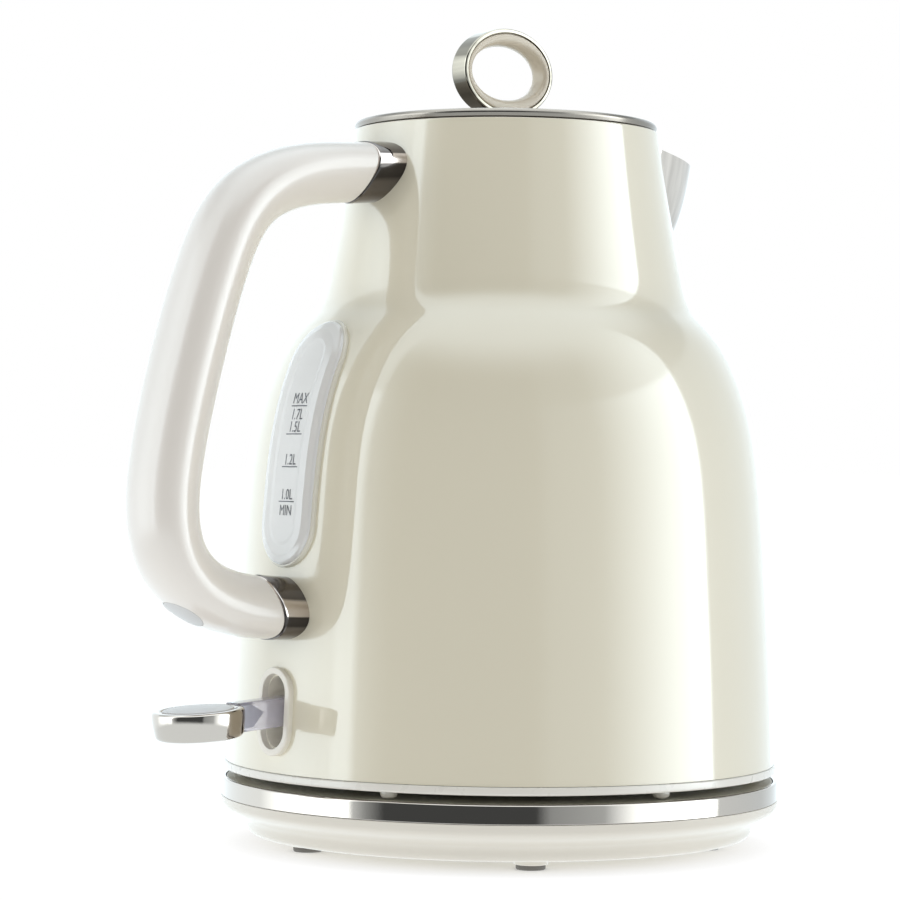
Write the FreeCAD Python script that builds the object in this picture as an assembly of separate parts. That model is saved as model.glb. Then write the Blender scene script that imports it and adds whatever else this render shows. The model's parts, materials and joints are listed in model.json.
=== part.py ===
"""Cordless electric kettle: enamelled jug with a loop handle, lift-off lid, V spout and a swivel power base.

Millimetres, +Z up. The origin is on the kettle's axis in the plane that the rubber feet stand on.
The handle, the level window and the switch lever point towards -X, the spout towards +X.
"""
import FreeCAD, Part
import math
import os

os.makedirs("parts", exist_ok=True)
Vec = FreeCAD.Vector
UP = Vec(0, 0, 1)
OUT = Vec(-1, 0, 0)

# Driving heights
SEAM_Z = 25.0
NECK_TOP_Z = 212.5
SKIRT_BOTTOM_Z = 22.5
DECK_TOP_Z = 20.0
PLATE_Z = 58.0
RUNNING_GAP = 0.3

# Jug shell
BARREL_RADIUS = 81.8
NECK_TOP_RADIUS = 45.75
SHELL_WALL = 1.0
# Outline of the shell as (radius, height above the seam): barrel, shoulder, crease and flared neck
SHELL_OUTLINE = [
    (BARREL_RADIUS, 0.0), (80.5, 30.0), (79.0, 55.0), (77.2, 80.0), (74.0, 101.3), (69.4, 115.6),
    (63.4, 126.4), (60.0, 130.3), (57.1, 133.5), (55.1, 137.2), (53.1, 144.4), (49.7, 161.9),
    (NECK_TOP_RADIUS, NECK_TOP_Z - SEAM_Z),
]

# Power base
BASE_RADIUS = 83.0
TRAY_BOTTOM_Z = 3.4
TRAY_TOP_Z = 14.6
TRAY_FLOOR_Z = TRAY_BOTTOM_Z + 2.0
BAND_TOP_Z = 20.1
DECK_UNDERSIDE_Z = 17.2
DECK_COLLAR_Z = 20.6
FOOT_CIRCLE = 62.0
FOOT_COUNT = 5
FOOT_RADIUS = 4.2
FOOT_HEIGHT = 1.4
FIRST_FOOT_ANGLE = 239.8
SCREW_CIRCLE = (3, 30.0, 50.0)
INLET_RADIUS = 4.5
INLET_Z = 8.6
INLET_FACE_Y = 80.5
CORD_RADIUS = 3.4
HUB_RADIUS = 16.6
HUB_TOP_Z = 31.0
SOCKET_RADIUS = 18.5
SOCKET_CEILING_Z = 33.5

# Handle centreline as (distance from the axis, height)
HANDLE_PATH = [
    (38.0, 198.5), (47.0, 197.9), (62.0, 196.8), (77.0, 194.6), (92.5, 186.9), (103.8, 167.6),
    (111.8, 142.1), (118.0, 115.0), (119.3, 100.0), (116.3, 86.8), (108.8, 78.3), (96.0, 73.3),
    (78.0, 71.7), (62.0, 71.5),
]
GRIP_DEPTH = 19.5
GRIP_WIDTH = 24.4
ARM_DEPTH = 16.2
ARM_WIDTH = 22.6
EGG_SHARPNESS = 0.25
COLLAR_PROUD = 0.3
# Planes where the grip meets its collars: distance from the axis, height, and lean of the top towards the jug
UPPER_SEAM = (56.3, 197.5, 12.0)
LOWER_SEAM = (87.2, 72.0, -8.0)

# Level window, centred on the handle side
WINDOW_WIDTH = 23.0
WINDOW_BOTTOM_Z = 84.0
WINDOW_TOP_Z = 153.0
WINDOW_PROUD = 2.4
WINDOW_FRAME = 0.8
WINDOW_FRAME_PROUD = 1.2
MARK_HEIGHTS = (101.9, 111.7, 120.9, 128.8)
MARK_LENGTH = 7.2
MARK_OFFSET_Y = -1.3

# Switch
SWITCH_Z = 42.4
SLOT_WIDTH = 10.9
SLOT_HEIGHT = 20.2
BEZEL_WIDTH = 15.0
BEZEL_HEIGHT = 25.3
BEZEL_PROUD = 1.7
RECESS_DEPTH_X = -56.0
PIVOT_X = -64.0
PIVOT_Z = 43.8
PIN_RADIUS = 1.5
PADDLE_X = -107.4
PADDLE_Z = 40.4
PADDLE_RADIUS = 13.1
PADDLE_FOOT_RADIUS = 12.3
PADDLE_TOP = 3.7
PADDLE_BOTTOM = -4.3
LEVER_SLOPE_DEG = 4.4

# Inside and underside
COVER_SCREWS = (3, 0.0, 64.0)
NUB_COUNT = 6
FIRST_NUB_ANGLE = 27.8
NUB_CIRCLE = 76.4
STEAM_TUBE = (-27.0, 32.0)

# Spout, as horizontal sections of (height, reach from the axis, half width)
SPOUT_WALL = 1.0
SPOUT_SECTIONS = [
    (166.0, 50.0, 5.0), (174.0, 57.2, 11.5), (184.0, 65.2, 18.5), (196.0, 70.2, 23.0), (212.0, 74.0, 26.0),
]
# Two points (x, z) on the sloping plane of the spout's lip
SPOUT_LIP = ((20.0, 211.4), (90.0, 201.6))

# Lid
LID_RADIUS = 45.25
LID_EDGE_Z = 212.8
LID_SEAT_Z = 213.8
LID_CROWN_Z = 217.2
PLUG_RADIUS = 42.3
PLUG_BOTTOM_Z = 201.0
KNOB_CENTRE_Z = 230.4
KNOB_HALF_WIDTH = 16.8
KNOB_HALF_HEIGHT = 13.1
KNOB_HOLE_HALF_WIDTH = 13.4
KNOB_HOLE_HALF_HEIGHT = 8.0
KNOB_THROAT_INSET = 0.7
KNOB_X = -1.5
KNOB_DEPTH = 6.9
KNOB_BAND_WALL = 1.2


def save(name, shape):
    """Write one sub-part, after making sure that it is whole."""
    solids = shape.Solids
    if not solids or not shape.isValid():
        raise ValueError(f"{name}: {len(solids)} solids, valid {shape.isValid()}")
    result = solids[0] if len(solids) == 1 else Part.makeCompound(solids)
    result.exportStep(f"parts/{name}.step")
    print(f"{name:18s} solids {len(solids)} volume {result.Volume / 1000:8.2f} cm3")


def revolved(points):
    """Solid of revolution about Z from a closed outline of (radius, z) corners."""
    corners = [Vec(r, 0, z) for r, z in points]
    wire = Part.makePolygon(corners + corners[:1])
    return Part.Face(wire).revolve(Vec(0, 0, 0), UP, 360)


def revolved_edges(edges):
    """Solid of revolution about Z from a closed outline of edges in the XZ plane."""
    return Part.Face(Part.Wire(Part.__sortEdges__(edges))).revolve(Vec(0, 0, 0), UP, 360)


def ring(outer, inner, low, high):
    return revolved([(inner, low), (outer, low), (outer, high), (inner, high)])


def disc(radius, low, high, x=0.0, y=0.0):
    return Part.makeCylinder(radius, high - low, Vec(x, y, low))


def line(a, b):
    return Part.LineSegment(Vec(a[0], 0, a[1]), Vec(b[0], 0, b[1])).toShape()


def arc(a, b, c):
    return Part.Arc(Vec(a[0], 0, a[1]), Vec(b[0], 0, b[1]), Vec(c[0], 0, c[1])).toShape()


def around(count, first_angle, radius):
    """Places on a circle about Z."""
    for index in range(count):
        angle = math.radians(first_angle + index * 360.0 / count)
        yield radius * math.cos(angle), radius * math.sin(angle)


def stadium(width, height, centre_z, x_from, x_to):
    """Upright slot shape in the YZ plane with round ends, drawn through from x_from to x_to."""
    half = width / 2.0
    straight = height / 2.0 - half
    low, high = centre_z - straight, centre_z + straight
    edges = [
        Part.LineSegment(Vec(x_from, -half, low), Vec(x_from, -half, high)).toShape(),
        Part.Arc(Vec(x_from, -half, high), Vec(x_from, 0, high + half), Vec(x_from, half, high)).toShape(),
        Part.LineSegment(Vec(x_from, half, high), Vec(x_from, half, low)).toShape(),
        Part.Arc(Vec(x_from, half, low), Vec(x_from, 0, low - half), Vec(x_from, -half, low)).toShape(),
    ]
    return Part.Face(Part.Wire(edges)).extrude(Vec(x_to - x_from, 0, 0))


def shell_curve(offset):
    """Outline of the shell moved outwards by offset, kept between the seam and the mouth."""
    curve = Part.BSplineCurve()
    curve.interpolate([Vec(r, 0, SEAM_Z + z) for r, z in SHELL_OUTLINE])
    if offset == 0.0:
        return curve
    moved = []
    for r, z in SHELL_OUTLINE:
        point = Vec(r, 0, SEAM_Z + z)
        tangent = curve.tangent(curve.parameter(point))[0]
        moved.append(point + Vec(tangent.z, 0, -tangent.x) * offset)
    moved[0].z = SEAM_Z
    moved[-1].z = NECK_TOP_Z
    offset_curve = Part.BSplineCurve()
    offset_curve.interpolate(moved)
    return offset_curve


def shell_solid(offset):
    """The jug's outer form as a full solid, grown or shrunk by offset."""
    curve = shell_curve(offset)
    low, high = curve.StartPoint, curve.EndPoint
    edges = [
        curve.toShape(),
        line((high.x, high.z), (0, high.z)),
        line((0, high.z), (0, low.z)),
        line((0, low.z), (low.x, low.z)),
    ]
    return revolved_edges(edges)


def shell_radius(z, offset=0.0):
    """Radius of the shell's surface at a height."""
    cut = shell_curve(offset).intersect(Part.LineSegment(Vec(0, 0, z), Vec(200, 0, z)))
    return max(point.X for point in cut)


# Power base

def make_base_tray():
    outline = [
        line((0, TRAY_BOTTOM_Z), (73.0, TRAY_BOTTOM_Z)),
        arc((73.0, TRAY_BOTTOM_Z), (74.6, 4.0), (75.2, 5.6)),
        arc((75.2, 5.6), (77.3, 8.9), (81.2, 10.8)),
        arc((81.2, 10.8), (82.6, 12.2), (BASE_RADIUS + 0.1, TRAY_TOP_Z)),
        line((BASE_RADIUS + 0.1, TRAY_TOP_Z), (79.4, TRAY_TOP_Z)),
        line((79.4, TRAY_TOP_Z), (78.0, 12.0)),
        line((78.0, 12.0), (70.5, TRAY_FLOOR_Z)),
        line((70.5, TRAY_FLOOR_Z), (0, TRAY_FLOOR_Z)),
        line((0, TRAY_FLOOR_Z), (0, TRAY_BOTTOM_Z)),
    ]
    tray = revolved_edges(outline)
    for x, y in around(FOOT_COUNT, FIRST_FOOT_ANGLE, FOOT_CIRCLE):
        tray = tray.fuse(disc(FOOT_RADIUS + 0.6, FOOT_HEIGHT, TRAY_BOTTOM_Z + 1.0, x, y))
    for x, y in around(*SCREW_CIRCLE):
        tray = tray.fuse(disc(4.0, TRAY_BOTTOM_Z + 0.5, DECK_UNDERSIDE_Z, x, y))
        tray = tray.cut(disc(1.5, 0.0, DECK_UNDERSIDE_Z, x, y))
        tray = tray.cut(disc(3.2, 0.0, TRAY_BOTTOM_Z + 1.6, x, y))
    return tray.cut(inlet_bushing()).cut(inlet_mouth())


def make_base_deck():
    deck = revolved([
        (79.4, TRAY_TOP_Z), (81.6, TRAY_TOP_Z), (81.6, DECK_TOP_Z), (26.0, DECK_TOP_Z),
        (25.0, DECK_COLLAR_Z), (HUB_RADIUS + 0.4, DECK_COLLAR_Z),
        (HUB_RADIUS + 0.4, DECK_UNDERSIDE_Z), (79.4, DECK_UNDERSIDE_Z),
    ])
    for x, y in around(*SCREW_CIRCLE):
        deck = deck.cut(disc(1.5, 10.0, 18.6, x, y))
    return deck


def make_base_band():
    return revolved_edges([
        line((81.6, TRAY_TOP_Z), (BASE_RADIUS, TRAY_TOP_Z)),
        line((BASE_RADIUS, TRAY_TOP_Z), (BASE_RADIUS, BAND_TOP_Z - 0.6)),
        arc((BASE_RADIUS, BAND_TOP_Z - 0.6), (BASE_RADIUS - 0.2, BAND_TOP_Z - 0.15),
            (BASE_RADIUS - 0.6, BAND_TOP_Z)),
        line((BASE_RADIUS - 0.6, BAND_TOP_Z), (81.6, BAND_TOP_Z)),
        line((81.6, BAND_TOP_Z), (81.6, TRAY_TOP_Z)),
    ])


def make_base_feet():
    pads = []
    for x, y in around(FOOT_COUNT, FIRST_FOOT_ANGLE, FOOT_CIRCLE):
        pad = disc(FOOT_RADIUS, 0.0, FOOT_HEIGHT, x, y)
        pads.append(pad.makeFillet(0.5, [edge for edge in pad.Edges if edge.BoundBox.ZMax < 0.01]))
    return Part.makeCompound(pads)


def make_base_screws():
    screws = []
    for x, y in around(*SCREW_CIRCLE):
        head = disc(3.0, TRAY_BOTTOM_Z + 0.1, TRAY_BOTTOM_Z + 1.6, x, y)
        slot = Part.makeBox(4.4, 0.9, 0.8, Vec(x - 2.2, y - 0.45, TRAY_BOTTOM_Z + 0.1))
        screws.append(head.fuse(disc(1.5, TRAY_BOTTOM_Z + 1.6, 18.4, x, y)).cut(slot))
    return Part.makeCompound(screws)


def inlet_bushing():
    """Outer form of the bushing in the tray's wall."""
    along = Vec(0, 1, 0)
    barrel = Part.makeCylinder(INLET_RADIUS, INLET_FACE_Y - 70.0, Vec(0, 70.0, INLET_Z), along)
    flange = Part.makeCylinder(INLET_RADIUS + 0.9, 1.5, Vec(0, INLET_FACE_Y - 1.5, INLET_Z), along)
    return barrel.fuse(flange)


def inlet_mouth():
    """Clear space in the tray's wall in front of the bushing."""
    start = Vec(0, INLET_FACE_Y - 0.5, INLET_Z)
    return Part.makeCylinder(INLET_RADIUS + 0.9, 10.0, start, Vec(0, 1, 0))


def make_cord_inlet():
    """Bushing that a cord would come out of."""
    hole = Part.makeCylinder(CORD_RADIUS, 20.0, Vec(0, 65.0, INLET_Z), Vec(0, 1, 0))
    return inlet_bushing().cut(hole)


def make_terminal_block():
    block = Part.makeBox(36.0, 22.0, 7.8, Vec(-18.0, -11.0, TRAY_FLOOR_Z))
    for index in range(3):
        x = -11.0 + 11.0 * index
        block = block.cut(Part.makeCylinder(2.2, 30.0, Vec(x, -15.0, TRAY_FLOOR_Z + 4.0), Vec(0, 1, 0)))
        block = block.cut(disc(1.8, TRAY_FLOOR_Z + 3.8, TRAY_FLOOR_Z + 9.0, x, 0.0))
    return block


# Swivel connector in the middle of the base

def make_connector_hub():
    floor_z = 19.0
    return revolved([
        (3.2, floor_z), (3.2, HUB_TOP_Z - 0.6), (3.8, HUB_TOP_Z), (6.4, HUB_TOP_Z),
        (6.4, floor_z), (9.6, floor_z), (9.6, HUB_TOP_Z), (11.8, HUB_TOP_Z),
        (11.8, floor_z), (14.2, floor_z), (14.2, HUB_TOP_Z), (HUB_RADIUS - 1.2, HUB_TOP_Z),
        (HUB_RADIUS, HUB_TOP_Z - 1.2), (HUB_RADIUS, 16.9), (20.0, 16.9), (20.0, 14.4),
        (0, 14.4), (0, floor_z),
    ])


def make_connector_contacts():
    return Part.makeCompound([
        disc(1.9, 19.0, 20.6),
        ring(9.2, 6.8, 19.0, 20.6),
        ring(13.9, 12.1, 19.0, 20.6),
    ])


# Jug

def handle_curve(offset=0.0):
    """Centreline of the handle, moved away from the grip hole by offset."""
    curve = Part.BSplineCurve()
    curve.interpolate([Vec(-r, 0, z) for r, z in HANDLE_PATH])
    if offset == 0.0:
        return curve
    count = 24
    points = []
    for index in range(count + 1):
        parameter = curve.FirstParameter + (curve.LastParameter - curve.FirstParameter) * index / count
        points.append(curve.value(parameter) + outward(curve, parameter) * offset)
    moved = Part.BSplineCurve()
    moved.interpolate(points)
    return moved


def outward(curve, parameter):
    """Direction in the handle's plane that points away from the grip hole."""
    tangent = curve.tangent(parameter)[0]
    return Vec(tangent.z, 0, -tangent.x)


def egg_section(curve, parameter, grow):
    """Closed egg-shaped outline across the handle: broad on the outside, narrower on the finger side."""
    length = curve.length(curve.FirstParameter, parameter) / curve.length()
    fullness = math.sin(math.pi * length) ** 0.7
    half_depth = (ARM_DEPTH + (GRIP_DEPTH - ARM_DEPTH) * fullness) / 2.0 + grow
    half_width = (ARM_WIDTH + (GRIP_WIDTH - ARM_WIDTH) * fullness) / 2.0 + grow
    centre = curve.value(parameter)
    out = outward(curve, parameter)
    points = []
    for index in range(16):
        angle = 2.0 * math.pi * index / 16
        across = math.sin(angle) * (1.0 + EGG_SHARPNESS * math.cos(angle))
        points.append(centre + out * (half_depth * math.cos(angle)) + Vec(0, half_width * across, 0))
    loop = Part.BSplineCurve()
    loop.interpolate(Points=points, PeriodicFlag=True)
    return Part.Wire(loop.toShape())


def grip_solid(start, end, grow, count):
    """The handle's form between two fractions of its centreline."""
    curve = handle_curve()
    total = curve.length()
    sections = []
    for index in range(count):
        distance = total * (start + (end - start) * index / (count - 1))
        sections.append(egg_section(curve, curve.parameterAtDistance(distance, curve.FirstParameter), grow))
    return Part.makeLoft(sections, True, False)


def beyond_seam(seam):
    """Block that holds what lies on the jug's side of a collar's seam."""
    distance, height, lean = seam
    block = Part.makeBox(60.0, 60.0, 50.0, Vec(0, -30.0, -25.0))
    block.rotate(Vec(0, 0, 0), Vec(0, 1, 0), lean)
    block.translate(Vec(-distance, 0, height))
    return block


def finger_side():
    """Block that holds everything between the handle's parting line and the jug."""
    parting = handle_curve(2.4)
    closing = Part.LineSegment(parting.EndPoint, parting.StartPoint).toShape()
    face = Part.Face(Part.Wire([parting.toShape(), closing]))
    face.translate(Vec(0, -30, 0))
    return face.extrude(Vec(0, 60, 0))


def plug_cutter():
    """Round access hole in the outer lower bend of the handle."""
    centre = Vec(-108.3, 0, 78.0)
    along = Vec(-0.54, 0, -0.84)
    return Part.makeCylinder(6.2, 12.0, centre + along * 5.5, along)


def make_handle(jug_solid):
    upper_side = beyond_seam(UPPER_SEAM)
    lower_side = beyond_seam(LOWER_SEAM)
    grip = grip_solid(0.0, 1.0, 0.0, 19).cut(upper_side).cut(lower_side)
    inside = finger_side()
    cutter = plug_cutter()
    outer_half = grip.cut(inside)
    screws = handle_screw_solids()
    parts = {
        "handle_plug": outer_half.common(cutter),
        "handle_outer": outer_half.cut(cutter),
        "handle_inner": grip.common(inside),
        "upper_collar": grip_solid(0.0, 0.14, COLLAR_PROUD, 5).common(upper_side).cut(jug_solid),
        "lower_collar": grip_solid(0.84, 1.0, COLLAR_PROUD, 5).common(lower_side).cut(jug_solid),
    }
    for name in parts:
        for screw in screws:
            parts[name] = parts[name].cut(screw)
    return parts


def handle_screw_solids():
    """Screws from inside the jug that hold both ends of the handle."""
    screws = []
    for z in (UPPER_SEAM[1], LOWER_SEAM[1]):
        wall_x = -shell_radius(z, -SHELL_WALL)
        head = Part.makeCylinder(3.6, 2.2, Vec(wall_x + 2.3, 0, z), OUT)
        thread = Part.makeCylinder(2.0, 22.0, Vec(wall_x + 0.2, 0, z), OUT)
        screws.append(head.fuse(thread))
    return screws


def spout_section(z, reach, half_width, inset):
    """Horizontal V-shaped outline of the spout at one height, running back into the neck."""
    back = 20.0
    root = NECK_TOP_RADIUS - 6.0
    tip = reach - inset
    half = half_width - inset * 1.1
    flank = NECK_TOP_RADIUS + (tip - NECK_TOP_RADIUS) * 0.55
    nose_back = tip - 2.2
    nose_half = min(6.0, half * 0.35) * 0.62
    side = [Vec(root, -half, z), Vec(flank, -half * 0.62, z), Vec(nose_back, -nose_half, z)]
    mirrored = [Vec(point.x, -point.y, z) for point in reversed(side)]
    vee = Part.BSplineCurve()
    vee.interpolate(side + [Vec(tip, 0, z)] + mirrored)
    edges = [
        Part.LineSegment(Vec(back, -half, z), side[0]).toShape(),
        vee.toShape(),
        Part.LineSegment(mirrored[-1], Vec(back, half, z)).toShape(),
        Part.LineSegment(Vec(back, half, z), Vec(back, -half, z)).toShape(),
    ]
    return Part.Wire(edges)


def spout_form(inset):
    """Full solid inside one skin of the spout."""
    lift = 0.0 if inset == 0.0 else 1.5
    return Part.makeLoft(
        [spout_section(z + lift, reach, half, inset) for z, reach, half in SPOUT_SECTIONS], True, False)


def spout_top_trim():
    """Everything above the spout's lip, which falls towards its tip."""
    (x0, z0), (x1, z1) = SPOUT_LIP
    corners = [Vec(x0, -40, z0), Vec(x1, -40, z1), Vec(x1, -40, 230), Vec(x0, -40, 230)]
    return Part.Face(Part.makePolygon(corners + corners[:1])).extrude(Vec(0, 80, 0))


def make_spout(jug_solid):
    skin = spout_form(0.0).cut(spout_form(SPOUT_WALL))
    return skin.cut(jug_solid).cut(spout_top_trim())


def spout_passage():
    """Opening through the neck's wall behind the spout."""
    block = Part.makeBox(60, 60, 34.0, Vec(30, -30, 171.0))
    return spout_form(SPOUT_WALL + 1.5).common(block)


def window_block(grow, x_to=-40.0):
    height = WINDOW_TOP_Z - WINDOW_BOTTOM_Z
    centre = (WINDOW_TOP_Z + WINDOW_BOTTOM_Z) / 2.0
    return stadium(WINDOW_WIDTH + 2 * grow, height + 2 * grow, centre, -95.0, x_to)


def make_body_shell(jug_solid):
    shell = jug_solid.cut(shell_solid(-SHELL_WALL))
    shell = shell.cut(spout_passage())
    shell = shell.cut(window_block(-3.0))
    bezel_hole = stadium(SLOT_WIDTH + 2.4, SLOT_HEIGHT + 2.4, SWITCH_Z, -95.0, -70.0)
    shell = shell.cut(bezel_hole)
    for screw in handle_screw_solids():
        shell = shell.cut(screw)
    return shell


def make_window():
    """Lens, its frame and the level lines, all following the jug's curved side."""
    outer = shell_solid(WINDOW_PROUD)
    skin = shell_solid(0.0)
    inner = shell_solid(-SHELL_WALL)
    lip = outer.common(window_block(0.0)).cut(skin)
    tongue = skin.common(window_block(-3.0)).cut(inner)
    lens = lip.fuse(tongue)
    frame = shell_solid(WINDOW_FRAME_PROUD).common(window_block(WINDOW_FRAME)).cut(skin)
    frame = frame.cut(window_block(0.0))
    mark_skin = shell_solid(WINDOW_PROUD + 0.15)
    marks = []
    for z in MARK_HEIGHTS:
        bar = Part.makeBox(60.0, MARK_LENGTH, 0.5, Vec(-100.0, MARK_OFFSET_Y - MARK_LENGTH / 2.0, z - 0.25))
        marks.append(mark_skin.common(bar).cut(outer))
    return lens, frame, Part.makeCompound(marks)


def make_skirt_ring():
    return revolved([
        (78.9, SKIRT_BOTTOM_Z), (82.0, SKIRT_BOTTOM_Z), (82.3, SKIRT_BOTTOM_Z + 0.5),
        (82.2, SEAM_Z - 0.3), (81.9, SEAM_Z), (80.6, SEAM_Z), (80.3, 31.0), (78.9, 31.0),
    ])


def make_bottom_cover():
    cover = revolved([
        (SOCKET_RADIUS, SKIRT_BOTTOM_Z), (78.9, SKIRT_BOTTOM_Z), (78.9, 24.5), (21.0, 24.5),
        (21.0, SOCKET_CEILING_Z + 1.5), (0, SOCKET_CEILING_Z + 1.5), (0, SOCKET_CEILING_Z),
        (SOCKET_RADIUS, SOCKET_CEILING_Z),
    ])
    for x, y in around(*COVER_SCREWS):
        cover = cover.fuse(disc(3.4, 24.5, 33.0, x, y))
        cover = cover.cut(disc(1.4, 20.0, 33.0, x, y)).cut(disc(3.0, 20.0, 24.0, x, y))
    return cover


def make_cover_screws():
    screws = []
    for x, y in around(*COVER_SCREWS):
        head = disc(2.8, 22.7, 24.0, x, y)
        slot = Part.makeBox(4.0, 0.8, 0.6, Vec(x - 2.0, y - 0.4, 22.7))
        screws.append(head.fuse(disc(1.4, 24.0, 33.0, x, y)).cut(slot))
    return Part.makeCompound(screws)


def make_jug_feet():
    nubs = []
    for x, y in around(NUB_COUNT, FIRST_NUB_ANGLE, NUB_CIRCLE):
        nub = disc(2.5, DECK_TOP_Z + RUNNING_GAP, SKIRT_BOTTOM_Z, x, y)
        bottom = [edge for edge in nub.Edges if edge.BoundBox.ZMax < DECK_TOP_Z + RUNNING_GAP + 0.01]
        nubs.append(nub.makeFillet(1.6, bottom))
    return Part.makeCompound(nubs)


def make_heating_parts():
    wall = shell_radius(PLATE_Z, -SHELL_WALL)
    top = PLATE_Z + 1.2
    seal = revolved([
        (wall - 2.6, PLATE_Z - 1.2), (wall - 0.15, PLATE_Z - 1.2), (wall - 0.35, top + 1.4),
        (wall - 2.6, top + 1.4), (wall - 2.6, top), (wall - 1.4, top), (wall - 1.4, PLATE_Z),
        (wall - 2.6, PLATE_Z),
    ])
    steam_x, steam_y = STEAM_TUBE
    steam_hole = disc(3.5, PLATE_Z - 5, top + 1, steam_x, steam_y)
    tube_turn = 300.0
    circle = Part.Wire(Part.makeCircle(3.3, Vec(40.0, 0, PLATE_Z - 6.0), Vec(0, 1, 0)))
    element = Part.Face(circle).revolve(Vec(0, 0, 0), UP, tube_turn)
    element.rotate(Vec(0, 0, 0), UP, 160.0)
    return {
        "heating_plate": disc(wall - 1.4, PLATE_Z, top).cut(steam_hole),
        "plate_seal": seal,
        "heat_diffuser": disc(48.0, PLATE_Z - 2.5, PLATE_Z).cut(steam_hole),
        "heating_element": element.cut(disc(70.0, PLATE_Z - 2.7, PLATE_Z)),
        "control_housing": revolved([
            (0, 35.0), (24.0, 35.0), (24.0, 45.0), (22.0, 47.0), (6.0, 47.0), (6.0, 54.6), (0, 54.6),
        ]),
        "bimetal_disc": disc(9.5, 54.6, PLATE_Z - 2.5),
        "steam_tube": ring(3.5, 2.6, PLATE_Z - 12.0, 186.0).translated(Vec(steam_x, steam_y, 0)),
    }


def make_socket_contacts():
    return {
        "contact_pin": disc(2.0, 21.6, SOCKET_CEILING_Z),
        "live_ring": ring(8.8, 7.2, 22.4, SOCKET_CEILING_Z),
        "earth_ring": ring(13.5, 12.5, 23.4, SOCKET_CEILING_Z),
    }


def make_spout_filter():
    frame = Part.makeBox(1.6, 36.0, 30.0, Vec(38.4, -18.0, 169.0))
    for index in range(9):
        y = -14.0 + 3.5 * index
        frame = frame.cut(Part.makeBox(4.0, 1.6, 24.0, Vec(37.0, y - 0.8, 172.0)))
    return frame


def make_switch_fixed(jug_solid):
    """Bezel, recess and pivot pin that stay on the jug."""
    bezel = stadium(BEZEL_WIDTH, BEZEL_HEIGHT, SWITCH_Z, -95.0, -70.0)
    bezel = bezel.common(shell_solid(BEZEL_PROUD)).cut(jug_solid)
    slot = stadium(SLOT_WIDTH, SLOT_HEIGHT, SWITCH_Z, -95.0, RECESS_DEPTH_X)
    bezel = bezel.cut(slot)
    recess = stadium(SLOT_WIDTH + 2.4, SLOT_HEIGHT + 2.4, SWITCH_Z, -95.0, RECESS_DEPTH_X + 1.2)
    recess = recess.common(jug_solid).cut(slot)
    pin = Part.makeCylinder(PIN_RADIUS, SLOT_WIDTH + 2.4, Vec(PIVOT_X, -SLOT_WIDTH / 2.0 - 1.2, PIVOT_Z),
                            Vec(0, 1, 0))
    return {"switch_bezel": bezel, "switch_recess": recess.cut(pin), "lever_pin": pin}


# Switch lever

def lever_place(shape):
    """Turn a part drawn level at the origin about the lever's slope and move it to the paddle."""
    moved = shape.copy()
    moved.rotate(Vec(0, 0, 0), Vec(0, 1, 0), -LEVER_SLOPE_DEG)
    moved.translate(Vec(PADDLE_X, 0, PADDLE_Z))
    return moved


def make_lever():
    thickness = PADDLE_TOP - PADDLE_BOTTOM
    paddle = Part.makeCone(PADDLE_FOOT_RADIUS, PADDLE_RADIUS, thickness, Vec(0, 0, PADDLE_BOTTOM))
    paddle = paddle.makeFillet(2.2, [e for e in paddle.Edges if len(e.Vertexes) == 1 and e.Length > 60])
    cap = Part.makeCylinder(PADDLE_RADIUS - 3.0, 2.0, Vec(0, 0, PADDLE_TOP - 1.6))
    length = math.hypot(PADDLE_X - PIVOT_X, PADDLE_Z - PIVOT_Z)
    stem = Part.makeBox(length + 4.0, 7.0, 8.4, Vec(0, -3.5, -4.2))
    stem = stem.makeFillet(1.5, [e for e in stem.Edges if e.BoundBox.XLength > 10])
    eye = Part.makeCylinder(PIN_RADIUS + 0.06, 20.0, Vec(length, -10, 0), Vec(0, 1, 0))
    root = Part.makeCylinder(PADDLE_RADIUS - 1.5, 20.0, Vec(0, 0, -10.0))
    stem = stem.cut(eye).cut(root).cut(paddle)
    return {
        "lever_stem": lever_place(stem),
        "paddle_band": lever_place(paddle.cut(cap)),
        "paddle_cap": lever_place(cap),
    }


# Lid

def knob_oval(half_width, half_height, y):
    """Upright oval outline of the ring knob at one depth."""
    oval = Part.Ellipse(Vec(0, 0, 0), half_width, half_height).toShape()
    oval.rotate(Vec(0, 0, 0), Vec(1, 0, 0), 90)
    oval.translate(Vec(KNOB_X, y, KNOB_CENTRE_Z))
    return Part.Wire(oval)


def knob_prism(half_width, half_height):
    front = Part.Face(knob_oval(half_width, half_height, KNOB_DEPTH / 2.0))
    return front.extrude(Vec(0, -KNOB_DEPTH, 0))


def knob_hole():
    """Finger hole of the ring knob, a little narrower half way through."""
    half = KNOB_DEPTH / 2.0 + 0.01
    wide = (KNOB_HOLE_HALF_WIDTH, KNOB_HOLE_HALF_HEIGHT)
    throat = (wide[0] - KNOB_THROAT_INSET, wide[1] - KNOB_THROAT_INSET)
    near = Part.makeLoft([knob_oval(*wide, -half), knob_oval(*throat, 0.0)], True, True)
    far = Part.makeLoft([knob_oval(*throat, 0.0), knob_oval(*wide, half)], True, True)
    return near, far


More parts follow.
